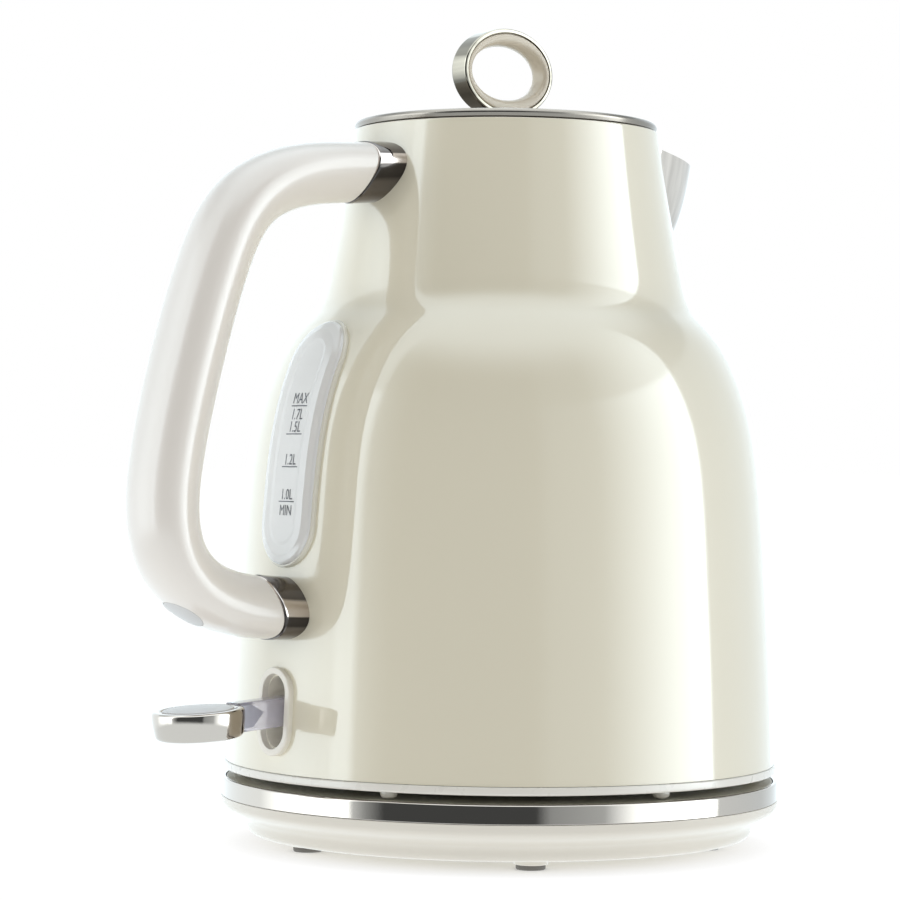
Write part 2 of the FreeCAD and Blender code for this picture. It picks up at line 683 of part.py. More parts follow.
def make_lid():
    plate = revolved_edges([
        line((0, LID_SEAT_Z), (0, LID_CROWN_Z)),
        arc((0, LID_CROWN_Z), (23.0, LID_CROWN_Z - 0.45), (44.2, 215.3)),
        arc((44.2, 215.3), (45.0, 214.9), (LID_RADIUS, 214.2)),
        line((LID_RADIUS, 214.2), (LID_RADIUS - 0.3, LID_EDGE_Z)),
        line((LID_RADIUS - 0.3, LID_EDGE_Z), (43.4, LID_EDGE_Z)),
        line((43.4, LID_EDGE_Z), (43.2, LID_SEAT_Z)),
        line((43.2, LID_SEAT_Z), (0, LID_SEAT_Z)),
    ])
    plug = revolved([
        (0, PLUG_BOTTOM_Z), (PLUG_RADIUS - 1.0, PLUG_BOTTOM_Z), (PLUG_RADIUS, PLUG_BOTTOM_Z + 1.0),
        (PLUG_RADIUS, LID_SEAT_Z), (PLUG_RADIUS - 2.0, LID_SEAT_Z), (PLUG_RADIUS - 2.0, PLUG_BOTTOM_Z + 2.0),
        (5.0, PLUG_BOTTOM_Z + 2.0), (5.0, LID_SEAT_Z), (0, LID_SEAT_Z),
    ])
    screw = disc(3.0, PLUG_BOTTOM_Z, PLUG_BOTTOM_Z + 2.0).fuse(disc(1.6, PLUG_BOTTOM_Z + 2.0, 219.6))
    screw_slot = Part.makeBox(4.6, 0.9, 0.8, Vec(-2.3, -0.45, PLUG_BOTTOM_Z))
    band = knob_prism(KNOB_HALF_WIDTH, KNOB_HALF_HEIGHT)
    core = knob_prism(KNOB_HALF_WIDTH - KNOB_BAND_WALL, KNOB_HALF_HEIGHT - KNOB_BAND_WALL)
    band_ring = band.cut(core).cut(plate)
    core_ring = core
    for side in knob_hole():
        core_ring = core_ring.cut(side)
    return {
        "lid_plate": plate.cut(screw),
        "lid_plug": plug.cut(screw),
        "lid_seal": revolved([(PLUG_RADIUS, 208.0), (44.3, 209.4), (44.3, 210.2), (PLUG_RADIUS, 211.4)]),
        "knob_band": band_ring.cut(screw),
        "knob_inner": core_ring.cut(screw),
        "knob_screw": screw.cut(screw_slot),
    }


def main():
    jug_solid = shell_solid(0.0)
    lens, frame, marks = make_window()
    parts = {
        "base_tray": make_base_tray(),
        "base_deck": make_base_deck(),
        "base_band": make_base_band(),
        "base_feet": make_base_feet(),
        "base_screws": make_base_screws(),
        "cord_inlet": make_cord_inlet(),
        "terminal_block": make_terminal_block(),
        "connector_hub": make_connector_hub(),
        "connector_contacts": make_connector_contacts(),
        "body_shell": make_body_shell(jug_solid),
        "spout": make_spout(jug_solid),
        "spout_filter": make_spout_filter(),
        "window_lens": lens,
        "window_frame": frame,
        "window_marks": marks,
        "skirt_ring": make_skirt_ring(),
        "bottom_cover": make_bottom_cover(),
        "cover_screws": make_cover_screws(),
        "jug_feet": make_jug_feet(),
        "handle_screws": Part.makeCompound(handle_screw_solids()),
    }
    parts.update(make_handle(jug_solid))
    parts.update(make_heating_parts())
    parts.update(make_socket_contacts())
    parts.update(make_switch_fixed(jug_solid))
    parts.update(make_lever())
    parts.update(make_lid())
    for name, shape in parts.items():
        save(name, shape)


main()
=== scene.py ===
"""Electric kettle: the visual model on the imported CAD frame, with its stage, lights and camera.

Lengths are in millimetres in the same frame as the CAD, and become metres when a mesh is made.
The handle, window and lever point towards -X, the spout towards +X.
"""
import json
import math

import bmesh
import bpy
import numpy as np
from mathutils import Matrix, Vector


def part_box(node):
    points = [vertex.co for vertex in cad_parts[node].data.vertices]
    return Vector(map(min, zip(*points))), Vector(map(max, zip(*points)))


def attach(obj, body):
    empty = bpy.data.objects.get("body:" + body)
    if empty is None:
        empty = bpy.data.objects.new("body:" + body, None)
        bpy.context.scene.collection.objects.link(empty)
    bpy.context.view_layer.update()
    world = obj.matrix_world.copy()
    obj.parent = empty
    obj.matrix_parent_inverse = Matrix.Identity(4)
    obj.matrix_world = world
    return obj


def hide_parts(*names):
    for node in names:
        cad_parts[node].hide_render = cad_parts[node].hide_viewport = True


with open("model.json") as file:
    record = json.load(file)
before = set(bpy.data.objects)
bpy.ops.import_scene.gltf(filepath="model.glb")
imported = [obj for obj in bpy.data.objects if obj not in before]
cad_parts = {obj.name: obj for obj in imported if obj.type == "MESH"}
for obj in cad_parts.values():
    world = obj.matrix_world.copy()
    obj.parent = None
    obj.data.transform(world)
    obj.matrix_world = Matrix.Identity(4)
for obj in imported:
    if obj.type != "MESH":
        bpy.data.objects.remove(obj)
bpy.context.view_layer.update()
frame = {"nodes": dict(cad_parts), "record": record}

MM = 0.001


def node_box(node):
    """Lowest and highest corner of a CAD node in millimetres."""
    low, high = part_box(node)
    return np.array(low) / MM, np.array(high) / MM


# Driving dimensions, shared with the CAD

SEAM_Z = 25.0
NECK_TOP_Z = node_box("body_shell")[1][2]
SKIRT_BOTTOM_Z = node_box("skirt_ring")[0][2]
DECK_TOP_Z = 20.0
NUB_BOTTOM_Z = node_box("jug_feet")[0][2]
INLET_RADIUS = 4.5
INLET_Z = 8.6
INLET_FACE_Y = 80.5
SHELL_WALL = 1.0
SHELL_OUTLINE = [
    (81.8, 25.0), (80.5, 55.0), (79.0, 80.0), (77.2, 105.0), (74.0, 126.3), (69.4, 140.6),
    (63.4, 151.4), (60.0, 155.3), (57.1, 158.5), (55.1, 162.2), (53.1, 169.4), (49.7, 186.9),
    (45.75, NECK_TOP_Z),
]
HANDLE_PATH = [
    (-38.0, 198.5), (-47.0, 197.9), (-62.0, 196.8), (-77.0, 194.6), (-92.5, 186.9), (-103.8, 167.6),
    (-111.8, 142.1), (-118.0, 115.0), (-119.3, 100.0), (-116.3, 86.8), (-108.8, 78.3), (-96.0, 73.3),
    (-78.0, 71.7), (-62.0, 71.5),
]
GRIP_DEPTH = 19.5
GRIP_WIDTH = 24.4
ARM_DEPTH = 16.2
ARM_WIDTH = 22.6
EGG_SHARPNESS = 0.25
COLLAR_PROUD = 0.3
PLUG_CENTRE = Vector((-108.3, 0.0, 78.0))
PLUG_ALONG = Vector((-0.54, 0.0, -0.84)).normalized()
PLUG_RADIUS = 6.2
UPPER_SEAM = (-56.3, 197.5, 12.0)
LOWER_SEAM = (-87.2, 72.0, -8.0)
WINDOW_HALF_WIDTH = 11.5
WINDOW_HEIGHT = 69.0
WINDOW_CENTRE_Z = 118.5
WINDOW_PROUD = 2.4
WINDOW_FRAME = 0.8
LENS_FIELD = 2.1
SWITCH_Z = 42.4
SLOT_HALF_WIDTH = 5.45
SLOT_HEIGHT = 20.2
BEZEL_HALF_WIDTH = 7.5
BEZEL_PROUD = 1.7
RECESS_FLOOR_X = -56.0
PIVOT_X = -64.0
PIVOT_Z = 43.8
PADDLE_X = -107.4
PADDLE_Z = 40.4
PADDLE_RADIUS = 13.1
PADDLE_FOOT_RADIUS = 12.3
PADDLE_TOP = 3.7
PADDLE_BOTTOM = -4.3
LEVER_SLOPE = math.radians(4.4)
KNOB_X = -1.5
KNOB_CENTRE_Z = 230.4
KNOB_HALF_DEPTH = 3.45
KNOB_OUTER = (16.8, 13.1)
KNOB_HOLE = (13.4, 8.0)
KNOB_BAND_WALL = 1.2
FOOT_RING = (5, 239.8, 62.0)  # how many, angle of the first, radius
NUB_RING = (6, 27.8, 76.4)
MERGE_DISTANCE = 2e-7  # metres
GRAIN_STRETCH = 0.004  # metres of grain in one radian round the axis


# Materials

class Graph:
    """A node tree, with short ways to add nodes that are already joined."""

    def __init__(self, tree):
        self.nodes = tree.nodes
        self.links = tree.links

    def feed(self, socket, given):
        """Join another node's output to a socket, or set the socket's own value."""
        if isinstance(given, bpy.types.NodeSocket):
            self.links.new(given, socket)
        else:
            socket.default_value = given

    def add(self, kind, inputs=None, **settings):
        """New node with its settings, and what feeds its inputs by name or number."""
        node = self.nodes.new(kind)
        for setting, value in settings.items():
            setattr(node, setting, value)
        for key, given in (inputs or {}).items():
            self.feed(node.inputs[key], given)
        return node

    def math(self, operation, first, second):
        return self.add("ShaderNodeMath", {0: first, 1: second}, operation=operation).outputs["Value"]

    def measure(self, operation, *vectors):
        """Number made from vectors: a length or a dot product."""
        node = self.add("ShaderNodeVectorMath", dict(enumerate(vectors)), operation=operation)
        return node.outputs["Value"]

    def noise(self, place, scale):
        inputs = {"Vector": place, "Scale": scale, "Detail": 2.0}
        return self.add("ShaderNodeTexNoise", inputs).outputs["Fac"]

    def scaled(self, given, source=(0.0, 1.0), target=(0.0, 1.0), style="LINEAR"):
        """Number carried over from one range to another."""
        inputs = {"Value": given, "From Min": source[0], "From Max": source[1],
                  "To Min": target[0], "To Max": target[1]}
        return self.add("ShaderNodeMapRange", inputs, interpolation_type=style).outputs["Result"]

    def mixed_numbers(self, part, first, second):
        return self.add("ShaderNodeMix", {0: part, 2: first, 3: second}).outputs[0]

    def mixed_colours(self, part, first, second, style="MIX"):
        inputs = {0: part, 6: first, 7: second}
        return self.add("ShaderNodeMix", inputs, data_type="RGBA", blend_type=style).outputs[2]

    def greys(self, place, stops):
        """Grey tone at a place between stops of (place, tone)."""
        ramp = self.add("ShaderNodeValToRGB", {"Fac": place})
        elements = ramp.color_ramp.elements
        while len(elements) > 1:
            elements.remove(elements[-1])
        for index, (position, tone) in enumerate(stops):
            stop = elements[0] if index == 0 else elements.new(position)
            stop.position = position
            stop.color = (tone, tone, tone, 1.0)
        return ramp.outputs["Color"]


def new_material(name):
    material = bpy.data.materials.new(name)
    material.use_nodes = True
    graph = Graph(material.node_tree)
    return material, graph, graph.nodes["Principled BSDF"]


def object_place(graph, stretch):
    """The piece's own coordinates in metres, squeezed along each axis."""
    place = graph.add("ShaderNodeTexCoord").outputs["Object"]
    return graph.add("ShaderNodeMapping", {"Vector": place, "Scale": stretch}).outputs["Vector"]


def round_place(graph):
    """Coordinates that run round the kettle's axis, so that a grain follows turned metal."""
    place = graph.add("ShaderNodeTexCoord").outputs["Object"]
    parts = graph.add("ShaderNodeSeparateXYZ", {"Vector": place}).outputs
    angle = graph.math("ARCTAN2", parts["Y"], parts["X"])
    along = graph.math("MULTIPLY", angle, GRAIN_STRETCH)
    inputs = {"X": graph.measure("LENGTH", place), "Y": along, "Z": parts["Z"]}
    return graph.add("ShaderNodeCombineXYZ", inputs).outputs["Vector"]


def finish(name, colour, roughness, tint=0.03, tint_scale=22.0, rough_spread=0.03, rough_scale=260.0,
           bump=0.05, bump_scale=1400.0, bump_depth=0.00005, stretch=(1.0, 1.0, 1.0), grain_round=False,
           **sockets):
    """Principled material whose colour, roughness and surface vary slightly over the piece."""
    material, graph, shader = new_material(name)
    place = round_place(graph) if grain_round else object_place(graph, stretch)

    darker = (*[c * (1.0 - tint) for c in colour], 1.0)
    lighter = (*[min(1.0, c * (1.0 + tint)) for c in colour], 1.0)
    tints = graph.mixed_colours(graph.noise(place, tint_scale), darker, lighter)
    graph.feed(shader.inputs["Base Color"], tints)

    limits = (max(0.0, roughness - rough_spread), roughness + rough_spread)
    graph.feed(shader.inputs["Roughness"], graph.scaled(graph.noise(place, rough_scale), target=limits))

    height = graph.noise(place, bump_scale)
    relief = graph.add("ShaderNodeBump", {"Strength": bump, "Distance": bump_depth, "Height": height})
    graph.feed(shader.inputs["Normal"], relief.outputs["Normal"])

    for socket, value in sockets.items():
        shader.inputs[socket.replace("_", " ")].default_value = value
    return material


def paint_light_by_facing(material, painted_tones):
    """Multiply a material's colour by painted tones set by how far its surface faces upwards, from -1 to 1:
    painted highlights, reflections and shade that stand in for the studio's light.
    """
    graph = Graph(material.node_tree)
    normal = graph.add("ShaderNodeNewGeometry").outputs["Normal"]
    facing = graph.add("ShaderNodeSeparateXYZ", {"Vector": normal}).outputs["Z"]
    place = graph.scaled(facing, source=(-1.0, 1.0))
    tone = graph.greys(place, [(0.5 + 0.5 * upward, tone) for upward, tone in painted_tones])
    base = graph.nodes["Principled BSDF"].inputs["Base Color"]
    plain = base.links[0].from_socket
    graph.feed(base, graph.mixed_colours(1.0, plain, tone, "MULTIPLY"))
    return material


def make_materials():
    """Materials for the record's slots, and the looks of single pieces that differ from their slot, some of
    them with painted light and shade.
    """
    gloss = {"Coat_Weight": 1.0, "Coat_Roughness": 0.02, "Coat_IOR": 1.6, "Specular_IOR_Level": 0.25}
    return {
        "cream_enamel": finish("cream_enamel", (0.81, 0.765, 0.61), 0.34, tint=0.012, bump=0.12,
                               bump_scale=170.0, bump_depth=0.00002, **gloss),
        "cream_plastic": finish("cream_plastic", (0.80, 0.765, 0.68), 0.34, Specular_IOR_Level=0.25,
                                Coat_Weight=0.25, Coat_Roughness=0.12),
        "ivory_grip": finish("ivory_grip", (0.85, 0.81, 0.75), 0.36, bump=0.14, bump_scale=2600.0,
                             Coat_Weight=0.7, Coat_Roughness=0.16),
        "white_plastic": finish("white_plastic", (0.82, 0.80, 0.73), 0.28, Coat_Weight=0.4,
                                Coat_Roughness=0.1),
        "chrome_trim": finish("chrome_trim", (0.44, 0.39, 0.345), 0.05, tint=0.02, rough_spread=0.02,
                              Metallic=1.0),
        # Painted reflection: the collars' chrome is painted dark where it faces down and where it faces up,
        # with a bright painted band where it faces a little upwards.
        "collar_chrome_painted_reflection": paint_light_by_facing(
            finish("collar_chrome_painted_reflection", (0.64, 0.56, 0.51), 0.04, tint=0.02, rough_spread=0.02, Metallic=1.0),
            [(-1.0, 0.30), (-0.62, 0.22), (-0.52, 0.08), (-0.05, 0.10), (0.02, 0.95), (0.52, 0.95),
             (0.58, 0.16), (1.0, 0.30)]),
        # Painted reflection: the knob's chrome is streaked darker and lighter in coarse bands, and painted
        # brighter where it faces up than where it faces sideways and down.
        "knob_chrome_painted_reflection": paint_light_by_facing(
            finish("knob_chrome_painted_reflection", (0.33, 0.295, 0.24), 0.06, tint=0.55, tint_scale=340.0,
                   stretch=(0.05, 0.05, 1.0), rough_spread=0.02, Metallic=1.0),
            [(-1.0, 0.5), (-0.4, 0.35), (0.2, 0.9), (1.0, 1.0)]),
        # Painted shade: the steel is darkened to 0.42 where it faces sideways and down, and to 0.62 where
        # it faces up.
        "steel": paint_light_by_facing(
            finish("steel", (0.56, 0.49, 0.42), 0.22, tint=0.10, tint_scale=2600.0, rough_spread=0.05,
                   rough_scale=3200.0, bump_scale=5200.0, grain_round=True, Metallic=1.0),
            [(-1.0, 0.42), (0.55, 0.42), (0.92, 0.62), (1.0, 0.62)]),
        "inner_steel": finish("inner_steel", (0.62, 0.59, 0.55), 0.32, tint=0.10, tint_scale=2600.0,
                              rough_scale=3200.0, rough_spread=0.06, grain_round=True, Metallic=1.0),
        # Painted reflection: coarse upright streaks of darker and lighter colour on the spout's steel.
        "spout_steel_painted_reflection": finish("spout_steel_painted_reflection", (0.54, 0.48, 0.43), 0.10, tint=0.45, tint_scale=230.0,
                              stretch=(1.0, 1.0, 0.02), Metallic=1.0),
        "clear_lens": finish("clear_lens", (0.96, 0.965, 0.955), 0.12, Transmission_Weight=0.2, IOR=1.46,
                             Coat_Weight=0.5),
        "lens_frame": finish("lens_frame", (0.80, 0.78, 0.68), 0.25, Coat_Weight=0.4),
        "print_grey": finish("print_grey", (0.10, 0.105, 0.12), 0.55),
        "clear_stem": finish("clear_stem", (0.86, 0.84, 0.93), 0.08, Transmission_Weight=0.7, IOR=1.49,
                             Coat_Weight=0.4),
        "stem_core": finish("stem_core", (0.40, 0.40, 0.48), 0.10, tint=0.25, tint_scale=220.0,
                            Coat_Weight=0.6),
        "plug_grey": finish("plug_grey", (0.62, 0.62, 0.61), 0.42, Coat_Weight=0.15, Coat_Roughness=0.3),
        "rubber_grey": finish("rubber_grey", (0.17, 0.16, 0.145), 0.75, bump=0.3, bump_scale=3000.0),
        "silicone": finish("silicone", (0.78, 0.78, 0.75), 0.5, Sheen_Weight=0.2),
        "dark_plastic": finish("dark_plastic", (0.025, 0.025, 0.025), 0.42, bump=0.2, bump_scale=2600.0),
        "aluminium": finish("aluminium", (0.72, 0.72, 0.74), 0.35, grain_round=True, Metallic=1.0),
        "brass": finish("brass", (0.72, 0.52, 0.22), 0.28, tint=0.08, Metallic=1.0),
        # Painted shade: a darker copy of cream_plastic that darkens the deck's upward face.
        "deck_cream_painted_shade": finish("deck_cream_painted_shade", (0.62, 0.60, 0.51), 0.38, Specular_IOR_Level=0.25),
        # Painted shade: the whitish inset on the paddle's top is given a grey colour that darkens its
        # upward face.
        "inset_white_painted_shade": finish("inset_white_painted_shade", (0.62, 0.61, 0.60), 0.30, Specular_IOR_Level=0.25),
        # Painted light: a lighter copy of beige_plastic that brightens the shaded inside of the switch
        # recess.
        "well_beige_painted_light": finish("well_beige_painted_light", (0.97, 0.93, 0.80), 0.5),
        # Darker, warmer copy of cream_plastic: the warmth is the core's own colour, the darkness is painted
        # shade for the knob's hole walls.
        "knob_cream": finish("knob_cream", (0.74, 0.67, 0.54), 0.34, Specular_IOR_Level=0.25,
                             Coat_Weight=0.25, Coat_Roughness=0.12),
        "beige_plastic": finish("beige_plastic", (0.87, 0.83, 0.73), 0.30, Coat_Weight=0.3,
                                Coat_Roughness=0.15),
    }


MATERIALS = make_materials()


def finish_cad_nodes():
    """The CAD nodes that stay shown take the same materials as the new pieces."""
    for subpart in frame["record"]["subparts"]:
        piece = frame["nodes"][subpart["node"]]
        for material_slot in piece.material_slots:
            material_slot.material = MATERIALS[subpart["material_slot"]]


# Curves and nets of points

class Curve:
    """Natural cubic curve through points, measured by chord length."""

    def __init__(self, points):
        self.points = np.array(points, float)
        steps = np.linalg.norm(np.diff(self.points, axis=0), axis=1)
        self.knots = np.concatenate([[0.0], np.cumsum(steps)])
        count = len(self.points)
        system = np.eye(count)
        wanted = np.zeros_like(self.points)
        for i in range(1, count - 1):
            before, after = steps[i - 1], steps[i]
            system[i, i - 1:i + 2] = before, 2.0 * (before + after), after
            slopes = np.diff(self.points[i - 1:i + 2], axis=0) / np.array([[before], [after]])
            wanted[i] = 6.0 * (slopes[1] - slopes[0])
        self.bends = np.linalg.solve(system, wanted)

    def at(self, fractions):
        """Points and unit tangents at fractions of the curve."""
        t = np.asarray(fractions, float) * self.knots[-1]
        i = np.clip(np.searchsorted(self.knots, t, side="right") - 1, 0, len(self.knots) - 2)
        h = (self.knots[i + 1] - self.knots[i])[:, None]
        a = (self.knots[i + 1] - t)[:, None]
        b = (t - self.knots[i])[:, None]
        p, q = self.points[i], self.points[i + 1]
        m, n = self.bends[i], self.bends[i + 1]
        start, end = p / h - m * h / 6.0, q / h - n * h / 6.0
        place = (m * a ** 3 + n * b ** 3) / (6.0 * h) + start * a + end * b
        slope = (n * b ** 2 - m * a ** 2) / (2.0 * h) - start + end
        return place, slope / np.linalg.norm(slope, axis=1, keepdims=True)


def rounded(corners, steps=4):
    """Closed outline of (r, z) points from (r, z, rounding) corners."""
    outline = []
    count = len(corners)
    for i, (r, z, rounding) in enumerate(corners):
        here = np.array([r, z])
        if rounding == 0.0:
            outline.append(here)
            continue
        before = np.array(corners[i - 1][:2]) - here
        after = np.array(corners[(i + 1) % count][:2]) - here
        start = here + before / np.linalg.norm(before) * rounding
        end = here + after / np.linalg.norm(after) * rounding
        for step in range(steps + 1):
            u = step / steps
            outline.append(start * (1 - u) ** 2 + here * 2 * u * (1 - u) + end * u ** 2)
    return outline


def net(rows, wrap_across=True, wrap_along=False, capped=False):
    """Vertices and faces of a net over equally long rows of points."""
    rows = np.asarray(rows, float)
    count, width = rows.shape[:2]
    faces = []
    for i in range(count if wrap_along else count - 1):
        for j in range(width if wrap_across else width - 1):
            right = (j + 1) % width
            up = (i + 1) % count * width
            faces.append((i * width + j, i * width + right, up + right, up + j))
    if capped:
        faces.append(tuple(range(width)))
        faces.append(tuple(range((count - 1) * width, count * width)))
    return rows.reshape(-1, 3), faces


def turned(outline, steps=256, centre=(0.0, 0.0)):
    """Net of a closed (r, z) outline turned round an upright axis."""
    angles = np.linspace(0.0, 2.0 * math.pi, steps, endpoint=False)
    rows = [np.column_stack([r * np.cos(angles) + centre[0], r * np.sin(angles) + centre[1],
                             np.full(steps, z)]) for r, z in outline]
    return net(rows, wrap_along=True)


def joined(nets):
    """Several nets as one."""
    verts, faces, start = [], [], 0
    for some_verts, some_faces in nets:
        verts.append(some_verts)
        faces += [tuple(index + start for index in face) for face in some_faces]
        start += len(some_verts)
    return np.concatenate(verts), faces


def around(count, first_angle, radius):
    """Places on a circle about the kettle's axis."""
    for index in range(count):
        angle = math.radians(first_angle + index * 360.0 / count)
        yield radius * math.cos(angle), radius * math.sin(angle)


# Pieces

def mesh_object(name, shape):
    """Object from a net, with doubled points merged and its faces turned outwards."""
    verts, faces = shape
    mesh = bpy.data.meshes.new(name)
    mesh.from_pydata([tuple(point) for point in np.asarray(verts) * MM], [], faces)
    work = bmesh.new()
    work.from_mesh(mesh)
    bmesh.ops.remove_doubles(work, verts=work.verts, dist=MERGE_DISTANCE)
    bmesh.ops.dissolve_degenerate(work, edges=work.edges, dist=MERGE_DISTANCE)
    bmesh.ops.recalc_face_normals(work, faces=work.faces)
    work.to_mesh(mesh)
    work.free()
    piece = bpy.data.objects.new(name, mesh)
    bpy.context.collection.objects.link(piece)
    return piece


def settle(piece, slot, body, nodes, sharp=38.0, weighted=True, look=None):
    """Give a piece its shading, material and body, and hide the CAD nodes that it stands for."""
    mesh = piece.data
    mesh.shade_smooth()
    if sharp:
        mesh.set_sharp_from_angle(angle=math.radians(sharp))
    if not mesh.materials:
        mesh.materials.append(MATERIALS[look or slot])
    if weighted:
        weigh = piece.modifiers.new("even_shading", "WEIGHTED_NORMAL")
        weigh.keep_sharp = True
    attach(piece, body)
    if nodes:
        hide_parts(*nodes)
    return piece


def make_piece(name, shape, slot, body, *nodes, **options):
    return settle(mesh_object(name, shape), slot, body, nodes, **options)


def apply_modifiers(piece):
    """Bake a piece's modifiers into its mesh."""
    shown = piece.evaluated_get(bpy.context.evaluated_depsgraph_get())
    mesh = bpy.data.meshes.new_from_object(shown)
    piece.modifiers.clear()
    mesh.materials.clear()
    piece.data = mesh


def combine(piece, others, operation="DIFFERENCE"):
    """Cut other objects out of a piece, keep only what lies in them, or add them, then discard them."""
    for other in others:
        step = piece.modifiers.new("combine", "BOOLEAN")
        step.operation = operation
        step.solver = "EXACT"
        step.object = other
    apply_modifiers(piece)
    for other in others:
        bpy.data.objects.remove(other)


# The jug's side as a surface

SHELL = Curve(SHELL_OUTLINE)
SHELL_PLACES, SHELL_TANGENTS = SHELL.at(np.linspace(0.0, 1.0, 600))


def shell_radius(z):
    return np.interp(z, SHELL_PLACES[:, 1], SHELL_PLACES[:, 0])


def shell_normal(z):
    """Outward direction of the side as (radial, upward) parts at heights."""
    radial = np.interp(z, SHELL_PLACES[:, 1], SHELL_TANGENTS[:, 1])
    upward = -np.interp(z, SHELL_PLACES[:, 1], SHELL_TANGENTS[:, 0])
    size = np.hypot(radial, upward)
    return radial / size, upward / size


def on_side(y, z, offset):
    """Points on the handle side of the jug over (y, z), moved outwards by offset."""
    y, z, offset = np.broadcast_arrays(*[np.asarray(v, float) for v in (y, z, offset)])
    radius = shell_radius(z)
    radial, upward = shell_normal(z)
    sideways = y / radius
    forward = np.sqrt(1.0 - sideways ** 2)
    return np.stack([-(radius + radial * offset) * forward, y + radial * offset * sideways,
                     z + upward * offset], axis=-1)


class Slot:
    """Upright slot shape with round ends, as points at distances from its middle line."""

    def __init__(self, half_width, height, centre_z, arc_steps=26, side_steps=24):
        straight = height / 2.0 - half_width
        turn = np.linspace(0.0, math.pi, arc_steps)
        rise = np.linspace(-straight, straight, side_steps)[1:-1]
        top = np.column_stack([np.cos(turn), np.sin(turn)])
        side = np.tile([1.0, 0.0], (len(rise), 1))
        self.direction = np.concatenate([top, -side, -top, side])
        end = np.full(arc_steps, straight)
        anchor = np.concatenate([end, rise[::-1], -end, rise])
        self.anchor = np.column_stack([np.zeros(len(anchor)), anchor + centre_z])

    def loop(self, distance):
        ring = self.anchor + self.direction * distance
        return ring[:, 0], ring[:, 1]

    def on_side(self, distance, offset):
        return on_side(*self.loop(distance), offset)

    def at_depth(self, distance, x):
        y, z = self.loop(distance)
        return np.column_stack([np.full(len(y), x), y, z])


# Power base

def make_base():
    tray = rounded([
        (0.0, 3.4, 0.0), (75.0, 3.4, 2.2), (75.5, 7.6, 1.6), (81.0, 10.5, 1.2), (82.6, 12.0, 0.9),
        (83.1, 14.6, 0.25), (79.4, 14.6, 0.0), (78.0, 12.0, 0.0), (70.5, 5.4, 0.0), (0.0, 5.4, 0.0),
    ], 8)
    boss = rounded([(0.0, 1.4, 0.0), (4.8, 1.4, 0.5), (5.4, 4.0, 0.0), (0.0, 4.0, 0.0)])
    bosses = [turned(boss, 48, place) for place in around(*FOOT_RING)]
    skin = mesh_object("base_tray_skin", turned(tray))
    combine(skin, [mesh_object("tray_bosses", joined(bosses))], "UNION")
    bore, ring, ring_back = INLET_RADIUS + 0.02, INLET_RADIUS + 0.92, INLET_FACE_Y - 1.6
    mouth = mesh_object("inlet_mouth", turned([(0.0, 68.0), (bore, 68.0), (bore, ring_back),
                                               (ring, ring_back), (ring, 95.0), (0.0, 95.0)], 96))
    mouth.data.transform(Matrix.Translation(Vector((0.0, 0.0, INLET_Z)) * MM)
                         @ Matrix.Rotation(math.radians(-90.0), 4, "X"))
    combine(skin, [mouth])
    settle(skin, "cream_plastic", "power_base", ["base_tray"])

    foot = rounded([(0.0, 0.0, 0.0), (4.2, 0.0, 0.5), (4.2, 1.4, 0.0), (0.0, 1.4, 0.0)])
    feet = [turned(foot, 40, place) for place in around(*FOOT_RING)]
    make_piece("base_feet_pads", joined(feet), "rubber_grey", "power_base", "base_feet")

    band = rounded([(81.7, 14.65, 0.2), (83.0, 14.65, 0.25), (83.0, 20.1, 0.7), (81.7, 20.1, 0.2)])
    make_piece("base_band_hoop", turned(band, 320), "chrome_trim", "power_base", "base_band")

    deck = rounded([
        (79.4, 14.6, 0.0), (81.5, 14.6, 0.0), (81.5, DECK_TOP_Z, 0.4), (26.5, DECK_TOP_Z, 0.5),
        (25.0, 20.6, 0.5), (17.0, 20.6, 0.3), (17.0, 17.2, 0.0), (79.4, 17.2, 0.0),
    ])
    # The deck's look is cream plastic with painted shade.
    make_piece("base_deck_skin", turned(deck), "cream_plastic", "power_base", "base_deck",
               look="deck_cream_painted_shade")


def make_skirt():
    skirt = rounded([
        (78.9, SKIRT_BOTTOM_Z, 0.2), (82.3, SKIRT_BOTTOM_Z, 0.7), (82.3, SEAM_Z - 0.1, 0.5),
        (80.7, SEAM_Z - 0.1, 0.1), (80.2, 31.0, 0.2), (78.9, 31.0, 0.2),
    ])
    make_piece("skirt_hoop", turned(skirt, 320), "white_plastic", "jug", "skirt_ring")

    nub = rounded([(0.0, NUB_BOTTOM_Z, 0.0), (2.5, NUB_BOTTOM_Z, 1.7), (2.5, SKIRT_BOTTOM_Z + 0.2, 0.0),
                   (0.0, SKIRT_BOTTOM_Z + 0.2, 0.0)], 8)
    nubs = [turned(nub, 40, place) for place in around(*NUB_RING)]
    make_piece("jug_feet_nubs", joined(nubs), "white_plastic", "jug", "jug_feet")


# Jug

def shell_outline():
    """Closed outline of the jug's wall with rolled edges, as (r, z) points."""
    fractions = np.linspace(0.0, 1.0, 190)
    places, tangents = SHELL.at(fractions)
    outwards = np.column_stack([tangents[:, 1], -tangents[:, 0]])
    inner = places - outwards * SHELL_WALL
    edge = 0.35
    outer_side = [tuple(p) for p in places if p[1] < NECK_TOP_Z - edge]
    inner_side = [tuple(p) for p in inner if SEAM_Z < p[1] < NECK_TOP_Z - edge]
    top_outer, top_inner = places[-1][0], inner[-1][0]
    lip = rounded([(top_outer, NECK_TOP_Z - 2 * edge, 0.0), (top_outer, NECK_TOP_Z, edge),
                   (top_inner, NECK_TOP_Z, edge), (top_inner, NECK_TOP_Z - 2 * edge, 0.0)])
    return outer_side + [tuple(p) for p in lip[1:-1]] + inner_side[::-1]


def side_cutter(name, half_width, height, centre_z):
    """Prism that cuts a slot through the handle side of the jug."""
    slot = Slot(half_width, height, centre_z)
    return mesh_object(name, net([slot.at_depth(half_width, -95.0), slot.at_depth(half_width, -60.0)],
                                 capped=True))


